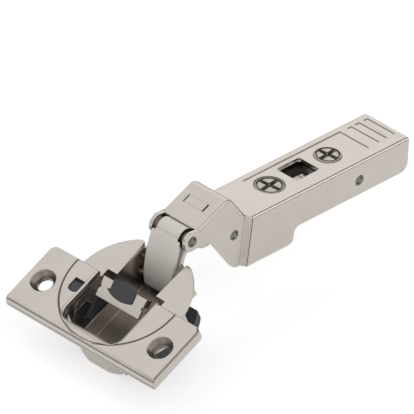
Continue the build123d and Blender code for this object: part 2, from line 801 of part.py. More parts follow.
# Flange plate: a pressed cover over the rim, open at the back over the trough
screw_places = [(screw_line, -screw_spacing / 2), (screw_line, screw_spacing / 2)]
with BuildPart() as flange_plate:
    with BuildSketch(cup_plane.offset(-plate_height)) as plate_outline:
        with Locations(((plate_front + plate_back) / 2, 0)):
            Rectangle(plate_back - plate_front, plate_length)
        back_corners = plate_outline.vertices().group_by(Axis.X)[-1]
        fillet(back_corners, plate_corner_radius)
    extrude(amount=plate_height)
    top_face = flange_plate.faces().sort_by_distance(
        cup_plane.from_local_coords(((plate_front + plate_back) / 2, 0, 0))
    )[0]
    rim_edges = [
        edge
        for edge in top_face.edges()
        if cup_plane.to_local_coords(edge.center()).X > plate_front + 1
    ]
    chamfer(rim_edges, plate_edge_ease)
    front_edges = flange_plate.edges().filter_by(Axis.Y).sort_by_distance(
        cup_plane.from_local_coords((plate_front, 0, 0))
    )
    fillet(front_edges[0], plate_front_radius)
    # hollow underside with a boss round each screw
    with BuildSketch(cup_plane.offset(-plate_height)):
        with Locations(((plate_front + plate_back) / 2, 0)):
            Rectangle(
                plate_back - plate_front - 2 * plate_skin,
                plate_length - 2 * plate_skin,
            )
        with Locations(*screw_places):
            Circle(screw_sink_radius + plate_skin, mode=Mode.SUBTRACT)
        # a lip stays round the mouth, except beside the switch
        with Locations(((opening_front - mouth_lip + plate_back) / 2, 0)):
            RectangleRounded(
                plate_back - opening_front + mouth_lip,
                opening_width + 2 * mouth_lip,
                opening_corner_radius + mouth_lip,
                mode=Mode.SUBTRACT,
            )
        switch_v = (switch_window_front + switch_window_back) / 2
        with Locations((switch_v, -switch_window_u)):
            Rectangle(
                switch_window_back - switch_window_front + 4 * switch_base_lap,
                switch_window_width + 2 * switch_base_lap,
            )
    extrude(amount=plate_height - plate_skin, mode=Mode.SUBTRACT)
    with BuildSketch(cup_plane.offset(-plate_height)):
        add(disc_between(rim_radius + slide_play, rim_front - slide_play, 2 * rim_radius))
    extrude(amount=rim_thickness + slide_play, mode=Mode.SUBTRACT)
    # mouth of the cup
    with BuildSketch(cup_plane) as mouth:
        with Locations(((opening_front + plate_back + 6) / 2, 0)):
            Rectangle(plate_back + 6 - opening_front, opening_width)
        front_corners = mouth.vertices().group_by(Axis.X)[0]
        fillet(front_corners, opening_corner_radius)
    extrude(amount=-plate_height, mode=Mode.SUBTRACT)
    # window of the switch, round at the front
    window_length = switch_window_back - switch_window_front
    with BuildSketch(cup_plane) as switch_window:
        with Locations((switch_v, -switch_window_u)):
            Rectangle(window_length, switch_window_width)
        window_round = switch_window_width / 2 - 2 * slide_play
        fillet(switch_window.vertices().group_by(Axis.X)[0], window_round)
    extrude(amount=-2 * plate_skin, mode=Mode.SUBTRACT)
    # ring pressed round the cup's mouth
    with BuildSketch(cup_plane) as ring_mark:
        Circle(ring_mark_radius)
        Circle(ring_mark_radius - mark_width, mode=Mode.SUBTRACT)
    extrude(amount=-mark_depth, mode=Mode.SUBTRACT)
    with Locations(cup_plane):
        with Locations(*screw_places):
            CounterSinkHole(screw_hole_radius, screw_sink_radius, plate_height)
flange_plate.part.label = "flange_plate"

# Damper housing: plastic, under both shelves and across under the trough
housing_inner = trough_outer + slide_play
housing_radius = cup_radius - housing_skin_gap
housing_front = cup_flat + housing_front_gap
with BuildPart() as damper_housing:
    with BuildSketch(cup_plane.offset(-housing_depth)):
        add(disc_between(housing_radius, housing_front, housing_back))
        Rectangle(4 * cup_radius, 2 * (housing_inner + housing_step), mode=Mode.SUBTRACT)
    extrude(amount=housing_depth - housing_back_depth)
    with BuildSketch(cup_plane.offset(-housing_depth)):
        add(disc_between(housing_radius, housing_front, pan_back + cup_wall))
        Rectangle(4 * cup_radius, 2 * housing_inner, mode=Mode.SUBTRACT)
    extrude(amount=housing_depth - shelf_depth - cup_wall - slide_play)
    with BuildSketch(cup_plane.offset(-housing_depth)):
        with Locations(((bridge_front + bridge_back) / 2, 0)):
            Rectangle(bridge_back - bridge_front, 2 * (housing_inner + bridge_lap))
    extrude(amount=-bridge_thickness)
    # cheeks beside the actuator, rising through the shelves
    slope = radians(actuator_tilt)
    cheek_drop = cheek_top / cos(slope)
    line_v = cheek_rear - cheek_end_gap
    line_n = actuator_back_n - (actuator_back_v - line_v) * tan(slope) - cheek_drop
    low_v = cheek_front + cheek_end_gap
    low_n = line_n + (low_v - line_v) * tan(slope)
    foot_n = -shelf_depth - cup_wall - slide_play - bridge_thickness
    for side in (-1, 1):
        with BuildSketch(cup_side.offset(side * (housing_inner + cheek_thickness / 2))):
            with BuildLine():
                Polyline(
                    (line_v, foot_n),
                    (line_v, line_n - cheek_step_drop),
                    (line_v - cheek_step_length, line_n - cheek_step_length * tan(slope)),
                    (low_v, low_n),
                    (low_v, foot_n),
                    close=True,
                )
            make_face()
        extrude(amount=cheek_thickness / 2, both=True)
damper_housing.part.label = "damper_housing"

# Actuator: steel bracket with a plastic pusher
actuator_plane = Plane(
    origin=cup_plane.from_local_coords((actuator_back_v, 0, actuator_back_n)),
    x_dir=cup_plane.x_dir.rotate(Axis.Y, -actuator_tilt),
    z_dir=cup_plane.z_dir.rotate(Axis.Y, -actuator_tilt),
)
with BuildPart() as actuator_bracket:
    with BuildSketch(actuator_plane):
        with Locations((-actuator_length / 2, 0)):
            Rectangle(actuator_length, actuator_width)
        with Locations((block_back - block_length / 2, 0)):
            Rectangle(
                block_length - 2 * block_lip,
                block_width - 2 * block_lip,
                mode=Mode.SUBTRACT,
            )
        with Locations(
            (-actuator_length / 2, actuator_width / 2),
            (-actuator_length / 2, -actuator_width / 2),
        ):
            Rectangle(bracket_notch, bracket_notch, mode=Mode.SUBTRACT)
    extrude(amount=-bracket_thickness)
    skirt_y = actuator_width / 2 - bracket_thickness / 2
    with BuildSketch(actuator_plane):
        with Locations((-skirt_length / 2, -skirt_y), (-skirt_length / 2, skirt_y)):
            Rectangle(skirt_length, bracket_thickness)
    extrude(amount=-skirt_depth)
actuator_bracket.part.label = "actuator_bracket"

block_front = block_back - block_length
with BuildPart() as actuator_block:
    with BuildSketch(actuator_plane.offset(press_play)) as pad:
        with BuildLine():
            Polyline(
                (block_front + block_bow, -block_width / 2),
                (block_back, -block_width / 2),
                (block_back, block_width / 2),
                (block_front + block_bow, block_width / 2),
            )
            ThreePointArc(
                (block_front + block_bow, block_width / 2),
                (block_front, 0),
                (block_front + block_bow, -block_width / 2),
            )
        make_face()
    extrude(amount=block_top)
    with BuildSketch(actuator_plane.offset(press_play)):
        with Locations((block_back - block_length / 2, 0)):
            Rectangle(
                block_length - 2 * (block_lip + pin_play),
                block_width - 2 * (block_lip + pin_play),
            )
    extrude(amount=-block_depth)
actuator_block.part.label = "actuator_block"

# Soft-close switch: a button in the plate's window on a flat base
with BuildPart() as soft_close_switch:
    with BuildSketch(cup_plane.offset(-plate_skin - slide_play)) as button:
        button_back = switch_window_back - switch_travel - slide_play
        button_front = switch_window_front + slide_play
        with Locations(((button_front + button_back) / 2, -switch_window_u)):
            Rectangle(button_back - button_front, switch_window_width - 2 * slide_play)
        button_round = switch_window_width / 2 - 4 * slide_play
        fillet(button.vertices().group_by(Axis.X)[0], button_round)
    extrude(amount=plate_skin - switch_sink)
    with BuildSketch(cup_plane.offset(-plate_skin - slide_play)):
        with Locations(((button_front + button_back) / 2, -switch_window_u)):
            Rectangle(
                button_back - button_front + 2 * switch_base_lap,
                switch_window_width + switch_base_lap,
            )
    extrude(amount=-switch_base)
soft_close_switch.part.label = "soft_close_switch"

pieces = [
    arm_shell.part,
    front_pin,
    mid_pin,
    rear_pin,
    carrier.part,
    lever_pin,
    clip_lever.part,
    adjust_nut.part,
    side_adjust_screw.part,
    depth_cam_screw.part,
    outer_link.part,
    inner_link.part,
    outer_cup_pin,
    inner_cup_pin,
    cup_shell.part,
    flange_plate.part,
    damper_housing.part,
    actuator_bracket.part,
    actuator_block.part,
    soft_close_switch.part,
]
os.makedirs("parts", exist_ok=True)
for piece in pieces:
    export_step(piece, f"parts/{piece.label}.step")
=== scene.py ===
"""Looks of a concealed cup hinge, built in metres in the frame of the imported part."""

import logging
import math
from collections.abc import Callable
from dataclasses import dataclass
from enum import Enum

import bpy
from mathutils import Matrix, Vector


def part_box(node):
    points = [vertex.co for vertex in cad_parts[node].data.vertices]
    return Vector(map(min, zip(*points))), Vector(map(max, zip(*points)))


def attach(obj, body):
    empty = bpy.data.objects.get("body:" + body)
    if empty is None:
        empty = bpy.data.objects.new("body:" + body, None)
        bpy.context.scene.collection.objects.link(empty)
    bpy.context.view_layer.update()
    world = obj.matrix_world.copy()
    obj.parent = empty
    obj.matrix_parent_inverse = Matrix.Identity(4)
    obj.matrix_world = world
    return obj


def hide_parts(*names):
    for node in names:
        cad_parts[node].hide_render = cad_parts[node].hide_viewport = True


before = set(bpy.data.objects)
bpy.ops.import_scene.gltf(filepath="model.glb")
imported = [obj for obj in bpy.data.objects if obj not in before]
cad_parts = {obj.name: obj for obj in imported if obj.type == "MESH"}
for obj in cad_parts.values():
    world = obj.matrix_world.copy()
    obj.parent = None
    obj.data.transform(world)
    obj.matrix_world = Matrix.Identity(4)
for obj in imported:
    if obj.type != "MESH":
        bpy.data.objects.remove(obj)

LOG = logging.getLogger("cup_hinge")

# A millimetre in the frame's metres. Sizes of the pieces are fields in millimetres.
MM = 0.001
# Millimetres in a metre, for the scales of patterns.
PER_METRE = 1000
# Least part of a face's normal along an axis where the face counts as square to it.
SQUARE = 0.9
# Places that are nearer than this, in millimetres, count as one.
TOUCH = 0.01
# Edges that are sharper than this stay sharp in the shading.
SHARP_DEG = 35.0
# Corners round the axis of a turned piece.
ROUND_SIDES = 48
# Turn of the grain on the tilted cup, about Y.
CUP_GRAIN_DEG = 27.0

# Tells, from a face's centre in metres and its normal, whether it is one to pick.
FaceTest = Callable[[Vector, Vector], bool]


class Slot(Enum):
    """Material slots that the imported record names."""

    NICKEL = "nickel_steel"
    SCREW = "screw_steel"
    GREY = "grey_plastic"
    BLACK = "black_plastic"


def linear(code: str) -> tuple[float, float, float, float]:
    """Turn an sRGB hex colour into a linear one.

    Args:
        code: Colour as six hex digits.

    Returns:
        Linear red, green and blue, and an alpha of one.
    """
    parts = [int(code[i : i + 2], 16) / 255 for i in (0, 2, 4)]
    lit = [c / 12.92 if c <= 0.04045 else ((c + 0.055) / 1.055) ** 2.4 for c in parts]
    return (lit[0], lit[1], lit[2], 1.0)


def add_node(
    tree: bpy.types.NodeTree,
    kind: str,
    settings: dict[str | int, object] | None = None,
    links: dict[str | int, bpy.types.NodeSocket] | None = None,
) -> bpy.types.Node:
    """Add a node, set its properties and sockets, and link its inputs.

    Args:
        tree: Node tree that gets the node.
        kind: Blender's name of the node type.
        settings: Values by property name, or by input name or number.
        links: Output sockets by input name or number.

    Returns:
        The new node.
    """
    node = tree.nodes.new(kind)
    for key, value in (settings or {}).items():
        if isinstance(key, str) and hasattr(node, key):
            setattr(node, key, value)
        else:
            node.inputs[key].default_value = value
    for key, source in (links or {}).items():
        tree.links.new(source, node.inputs[key])
    return node


def start_material(name: str) -> tuple[bpy.types.Material, bpy.types.Node]:
    """Make a node material with only a Principled shader and its output.

    Args:
        name: Name of the material.

    Returns:
        The material and its shader node.
    """
    material = bpy.data.materials.new(name)
    material.use_nodes = True
    shader = material.node_tree.nodes["Principled BSDF"]
    return material, shader


def select_only(piece: bpy.types.Object) -> None:
    """Deselect everything else, and make a piece the active one.

    Args:
        piece: Object that the next operator acts on.
    """
    bpy.ops.object.select_all(action="DESELECT")
    piece.select_set(True)
    bpy.context.view_layer.objects.active = piece


def start_piece(name: str, add: Callable[..., set[str]], **settings: object) -> bpy.types.Object:
    """Add a primitive at the origin, with nothing else selected.

    Args:
        name: Name of the new piece.
        add: Operator that adds the primitive.
        **settings: Sizes for the operator.

    Returns:
        The new piece.
    """
    bpy.ops.object.select_all(action="DESELECT")
    add(location=(0, 0, 0), **settings)
    piece = bpy.context.active_object
    piece.name = name
    return piece


def apply_modifier(piece: bpy.types.Object, kind: str, **settings: object) -> None:
    """Add one modifier and apply it to the mesh.

    Args:
        piece: Object that gets it.
        kind: Blender's name of the modifier.
        **settings: Properties of the modifier.
    """
    select_only(piece)
    modifier = piece.modifiers.new(kind.lower(), kind)
    for key, value in settings.items():
        setattr(modifier, key, value)
    bpy.ops.object.modifier_apply(modifier=modifier.name)


def cut(piece: bpy.types.Object, cutter: bpy.types.Object) -> None:
    """Cut one solid out of another, and delete the cutter.

    Args:
        piece: Solid that is cut.
        cutter: Solid that is taken out of it.
    """
    apply_modifier(piece, "BOOLEAN", operation="DIFFERENCE", object=cutter, solver="EXACT")
    bpy.data.objects.remove(cutter)


def deselect_mesh(mesh: bpy.types.Mesh) -> None:
    """Deselect all of a mesh, in object mode.

    Args:
        mesh: Mesh whose vertices, edges and faces are deselected.
    """
    for items in (mesh.vertices, mesh.edges, mesh.polygons):
        items.foreach_set("select", [False] * len(items))


def pick_faces(piece: bpy.types.Object, test: FaceTest) -> None:
    """Select the faces that pass a test, and nothing else.

    Args:
        piece: Object in object mode.
        test: Test of a face.
    """
    deselect_mesh(piece.data)
    for face in piece.data.polygons:
        face.select = test(face.center, face.normal)


def smooth(piece: bpy.types.Object, sharp_deg: float = SHARP_DEG) -> None:
    """Shade a piece smooth, apart from its sharp edges.

    Args:
        piece: The piece.
        sharp_deg: Angle over which an edge stays sharp.
    """
    select_only(piece)
    bpy.ops.object.shade_smooth_by_angle(angle=math.radians(sharp_deg))


def dress(piece: bpy.types.Object, material: bpy.types.Material) -> None:
    """Give a piece one material.

    Args:
        piece: The piece.
        material: Material for all its faces.
    """
    piece.data.materials.clear()
    piece.data.materials.append(material)


def touch_up(piece: bpy.types.Object, material: bpy.types.Material, test: FaceTest) -> None:
    """Give the faces that pass a test one more of a dressed piece's materials.

    Args:
        piece: The dressed piece.
        material: Material for those faces.
        test: Test of a face.
    """
    piece.data.materials.append(material)
    index = len(piece.data.materials) - 1
    for face in piece.data.polygons:
        if test(face.center, face.normal):
            face.material_index = index


def settle(piece: bpy.types.Object, body: str, nodes: tuple[str, ...]) -> None:
    """Let a finished piece ride on its body and stand for CAD nodes.

    Args:
        piece: The finished piece.
        body: Body that carries it.
        nodes: CAD nodes that it replaces.
    """
    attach(piece, body)
    if nodes:
        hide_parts(*nodes)
    LOG.info("made %s on %s", piece.name, body)


@dataclass(frozen=True)
class Easing:
    """How the pressing tools round a sheet part's edges.

    Attributes:
        width_mm: Width of the rounding.
        segments: Steps of the rounding.
        flat_deg: Facets that meet at less than this are joined first.
        merge_m: Vertices that are nearer than this, in metres, are merged first.
    """

    width_mm: float = 0.14
    segments: int = 2
    flat_deg: float = 0.8
    merge_m: float = 0.000001

    def copy_of(
        self,
        node: str,
        name: str,
        shape: Callable[[bpy.types.Object], None] | None = None,
    ) -> bpy.types.Object:
        """Copy a CAD node's shape, join its facets and round its edges.

        Args:
            node: CAD node to start from.
            name: Name of the new piece.
            shape: Shapes the joined copy before its edges are rounded.

        Returns:
            The eased piece.
        """
        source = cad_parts[node]
        piece = source.copy()
        piece.data = source.data.copy()
        piece.parent = None
        for key in list(piece.keys()):
            del piece[key]
        piece.name = name
        piece.data.name = name
        bpy.context.scene.collection.objects.link(piece)
        select_only(piece)
        bpy.ops.object.mode_set(mode="EDIT")
        bpy.ops.mesh.select_all(action="SELECT")
        bpy.ops.mesh.remove_doubles(threshold=self.merge_m)
        bpy.ops.mesh.dissolve_limited(angle_limit=math.radians(self.flat_deg))
        bpy.ops.object.mode_set(mode="OBJECT")
        if shape:
            shape(piece)
        apply_modifier(
            piece,
            "BEVEL",
            width=self.width_mm * MM,
            segments=self.segments,
            limit_method="ANGLE",
            angle_limit=math.radians(SHARP_DEG),
            use_clamp_overlap=False,
            miter_outer="MITER_ARC",
        )
        apply_modifier(piece, "TRIANGULATE", min_vertices=5)
        smooth(piece)
        apply_modifier(piece, "WEIGHTED_NORMAL", keep_sharp=True)
        return piece


def eased(
    node: str, body: str, material: bpy.types.Material, easing: Easing = Easing()
) -> bpy.types.Object:
    """Replace a CAD node by its eased copy in one material.

    Args:
        node: CAD node.
        body: Body that carries it.
        material: Material for all its faces.
        easing: Rounding of its edges.

    Returns:
        The new piece.
    """
    piece = easing.copy_of(node, node + "_eased")
    dress(piece, material)
    settle(piece, body, (node,))
    return piece


@dataclass(frozen=True)
class PaintedShade:
    """Painted shade that darkens the metal below a level.

    Attributes:
        tint: Colour of the metal in full painted shade.
        axis: Direction in which the level rises.
        low_mm: Level, along the axis, under which the painted shade is whole.
        high_mm: Level over which the metal has no painted shade.
    """

    tint: str
    axis: tuple[float, float, float]
    low_mm: float
    high_mm: float

    def cover(
        self, tree: bpy.types.NodeTree, place: bpy.types.NodeSocket
    ) -> bpy.types.NodeSocket:
        """Give the painted shade's cover, from none to whole, over the surface.

        Args:
            tree: Node tree of the material.
            place: Object coordinates.

        Returns:
            Socket that is 1 where the painted shade is whole.
        """
        level = add_node(
            tree,
            "ShaderNodeVectorMath",
            {"operation": "DOT_PRODUCT", 1: [PER_METRE * part for part in self.axis]},
            {0: place},
        )
        return add_node(
            tree,
            "ShaderNodeMapRange",
            {
                "interpolation_type": "SMOOTHSTEP",
                "From Min": self.low_mm,
                "From Max": self.high_mm,
                "To Min": 1.0,
                "To Max": 0.0,
            },
            {"Value": level.outputs["Value"]},
        ).outputs["Result"]


@dataclass(frozen=True)
class PressedNickel:
    """Steel strip, rolled and pressed, then nickel plated.

    Rolling leaves a fine grain along the strip, which the thin plating keeps,
    so reflections are broad and soft, and the tone is a warm pale grey.

    Attributes:
        name: Name of the material.
        tint: Colour of the plating's lighter clouds.
        shade: Colour of its darker clouds.
        roughness: Mean roughness.
        gloss_spread: How far the grain moves the roughness up and down.
        grain_length_mm: Length of the grain along the strip.
        grain_width_mm: Width of the grain, drawn coarser than real so that it shows.
        grain_relief: Strength of the grain's relief.
        grain_depth_mm: Depth of the grain.
        cloud_mm: Size of the clouds.
        turn_deg: Turn of the strip about Y.
        metallic: Less than one where satin plating scatters light as a matt skin does.
        painted_shade: Painted shade that darkens the metal below a level, if there is one.
    """

    name: str
    tint: str = "D9D2CB"
    shade: str = "CFC8C1"
    roughness: float = 0.24
    gloss_spread: float = 0.04
    grain_length_mm: float = 3.0
    grain_width_mm: float = 0.28
    grain_relief: float = 0.15
    grain_depth_mm: float = 0.02
    cloud_mm: float = 9.0
    turn_deg: float = 0.0
    metallic: float = 1.0
    painted_shade: PaintedShade | None = None

    def material(self) -> bpy.types.Material:
        """Build the plated steel with grain along the strip.

        Returns:
            The material.
        """
        material, shader = start_material(self.name)
        tree = material.node_tree
        place = add_node(tree, "ShaderNodeTexCoord")
        across = PER_METRE / self.grain_width_mm
        grain_place = add_node(
            tree,
            "ShaderNodeMapping",
            {
                "Rotation": (0.0, math.radians(self.turn_deg), 0.0),
                "Scale": (PER_METRE / self.grain_length_mm, across, across),
            },
            {"Vector": place.outputs["Object"]},
        )
        grain = add_node(
            tree,
            "ShaderNodeTexNoise",
            {"Scale": 1.0, "Detail": 3.0, "Roughness": 0.6},
            {"Vector": grain_place.outputs["Vector"]},
        )
        cloud = add_node(
            tree,
            "ShaderNodeTexNoise",
            {"Scale": PER_METRE / self.cloud_mm, "Detail": 2.0},
            {"Vector": place.outputs["Object"]},
        )
        colour = add_node(
            tree,
            "ShaderNodeMix",
            {"data_type": "RGBA", 6: linear(self.shade), 7: linear(self.tint)},
            {0: cloud.outputs["Fac"]},
        ).outputs[2]
        # Painted shade below a level, mixed into the base colour.
        if self.painted_shade:
            cover = self.painted_shade.cover(tree, place.outputs["Object"])
            colour = add_node(
                tree,
                "ShaderNodeMix",
                {"data_type": "RGBA", 7: linear(self.painted_shade.tint)},
                {0: cover, 6: colour},
            ).outputs[2]
        gloss = add_node(
            tree,
            "ShaderNodeMapRange",
            {
                "To Min": self.roughness - self.gloss_spread,
                "To Max": self.roughness + self.gloss_spread,
            },
            {"Value": grain.outputs["Fac"]},
        )
        relief = add_node(
            tree,
            "ShaderNodeBump",
            {"Strength": self.grain_relief, "Distance": self.grain_depth_mm * MM},
            {"Height": grain.outputs["Fac"]},
        )
        shader.inputs["Metallic"].default_value = self.metallic
        tree.links.new(colour, shader.inputs["Base Color"])
        tree.links.new(gloss.outputs["Result"], shader.inputs["Roughness"])
        tree.links.new(relief.outputs["Normal"], shader.inputs["Normal"])
        return material


@dataclass(frozen=True)
class MottledSkin:
    """Skin whose tone and relief follow the same fine marks.

    Attributes:
        name: Name of the material.
        tint: Colour of the skin between the marks.
        shade: Colour of the marks.
        roughness: Roughness all over.
        mark_mm: Size of the marks, drawn coarser than real so that they show.
        relief: Strength of the relief.
        depth_mm: Depth of the marks.
        metallic: One for metal, and nought for plastic.
    """

    name: str
    tint: str
    shade: str
    roughness: float = 0.5
    mark_mm: float = 0.25
    relief: float = 0.3
    depth_mm: float = 0.03
    metallic: float = 0.0

    def material(self) -> bpy.types.Material:
        """Build the skin with its marks.

        Returns:
            The material.
        """
        material, shader = start_material(self.name)
        tree = material.node_tree
        place = add_node(tree, "ShaderNodeTexCoord")
        marks = add_node(
            tree,
            "ShaderNodeTexNoise",
            {"Scale": PER_METRE / self.mark_mm, "Detail": 2.0},
            {"Vector": place.outputs["Object"]},
        )
        tone = add_node(
            tree,
            "ShaderNodeMix",
            {"data_type": "RGBA", 6: linear(self.shade), 7: linear(self.tint)},
            {0: marks.outputs["Fac"]},
        )
        relief = add_node(
            tree,
            "ShaderNodeBump",
            {"Strength": self.relief, "Distance": self.depth_mm * MM},
            {"Height": marks.outputs["Fac"]},
        )
        shader.inputs["Metallic"].default_value = self.metallic
        shader.inputs["Roughness"].default_value = self.roughness
        tree.links.new(tone.outputs[2], shader.inputs["Base Color"])
        tree.links.new(relief.outputs["Normal"], shader.inputs["Normal"])
        return material


@dataclass(frozen=True)
class TurnedSteel(MottledSkin):
    """Free-cutting steel, turned and zinc plated, for screws and pins.

    The tool and the plating leave a fine uneven skin, which breaks up the
    reflections and is greyer and darker than the nickel on the pressed parts.
    """

    tint: str = "9C958F"
    shade: str = "77716C"
    roughness: float = 0.26
    mark_mm: float = 0.35
    relief: float = 0.2
    depth_mm: float = 0.02
    metallic: float = 1.0


@dataclass(frozen=True)
class MouldedPlastic(MottledSkin):
    """Engineering plastic, injection moulded, with a spark-eroded matt skin.

    The skin scatters light evenly, with a soft sheen and no clear reflections.
    """


@dataclass(frozen=True)
class RivetPin:
    """Cross pin whose ends are dished by the punch that sets them.

    Attributes:
        node: CAD node of the pin.
        body: Body that carries it.
        rim: Width of the flat rim, as a share of the radius.
        dish_mm: Depth of the dish.
        dish_steps: Width and fall of each step into the dish, as shares of radius and depth.
        edge_mm: Width of the rounding at both ends.
        edge_deg: Edges that are sharper than this are rounded.
    """

    node: str
    body: str
    rim: float = 0.2
    dish_mm: float = 0.75
    dish_steps: tuple[tuple[float, float], ...] = (
        (0.08, 0.45),
        (0.1, 0.35),
        (0.2, 0.15),
        (0.2, 0.05),
    )
    edge_mm: float = 0.12
    edge_deg: float = 60.0

    def build(self, material: bpy.types.Material) -> None:
        """Turn the pin between its CAD ends and dish both of them.

        Args:
            material: Material of the pin.
        """
        low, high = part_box(self.node)
        radius = (high.x - low.x) / 2
        pin = start_piece(
            self.node + "_dished",
            bpy.ops.mesh.primitive_cylinder_add,
            vertices=ROUND_SIDES,
            radius=radius,
            depth=high.y - low.y,
            end_fill_type="NGON",
        )
        pin.data.transform(Matrix.Rotation(math.pi / 2, 4, "X"))
        pin.data.transform(Matrix.Translation((low + high) / 2))
        pick_faces(pin, lambda centre, normal: abs(normal.y) > SQUARE)
        bpy.ops.object.mode_set(mode="EDIT")
        bpy.ops.mesh.select_mode(type="FACE")
        bpy.ops.mesh.inset(thickness=self.rim * radius, use_individual=True)
        for share, fall in self.dish_steps:
            bpy.ops.mesh.inset(
                thickness=share * radius, depth=-fall * self.dish_mm * MM, use_individual=True
            )
        bpy.ops.object.mode_set(mode="OBJECT")
        apply_modifier(
            pin,
            "BEVEL",
            width=self.edge_mm * MM,
            segments=3,
            limit_method="ANGLE",
            angle_limit=math.radians(self.edge_deg),
        )
        smooth(pin)
        dress(pin, material)
        settle(pin, self.body, (self.node,))


def lathe(
    name: str, x: float, rings: list[tuple[float, float]], sides: int = ROUND_SIDES
) -> bpy.types.Object:
    """Build a round body on a vertical axis by extruding ring after ring.

    Args:
        name: Name of the piece.
        x: Place of the axis along the arm, in millimetres.
        rings: Radius and height of each ring, from one end to the other.
        sides: Corners round the axis.

    Returns:
        The closed body.
    """
    radius, height = rings[0]
    piece = start_piece(
        name,
        bpy.ops.mesh.primitive_circle_add,
        vertices=sides,
        radius=radius * MM,
        fill_type="NGON",
    )
    piece.data.transform(Matrix.Translation((x * MM, 0, height * MM)))
    bpy.ops.object.mode_set(mode="EDIT")
    bpy.ops.mesh.select_mode(type="FACE")
    bpy.ops.mesh.select_all(action="SELECT")
    for new_radius, new_height in rings[1:]:
        bpy.ops.mesh.extrude_region_move(
            TRANSFORM_OT_translate={"value": (0, 0, (new_height - height) * MM)}
        )
        scale = new_radius / radius
        bpy.ops.transform.resize(
            value=(scale, scale, 1), center_override=(x * MM, 0, new_height * MM)
        )
        radius, height = new_radius, new_height
    bpy.ops.mesh.select_all(action="SELECT")
    bpy.ops.mesh.normals_make_consistent(inside=False)
    bpy.ops.object.mode_set(mode="OBJECT")
    return piece


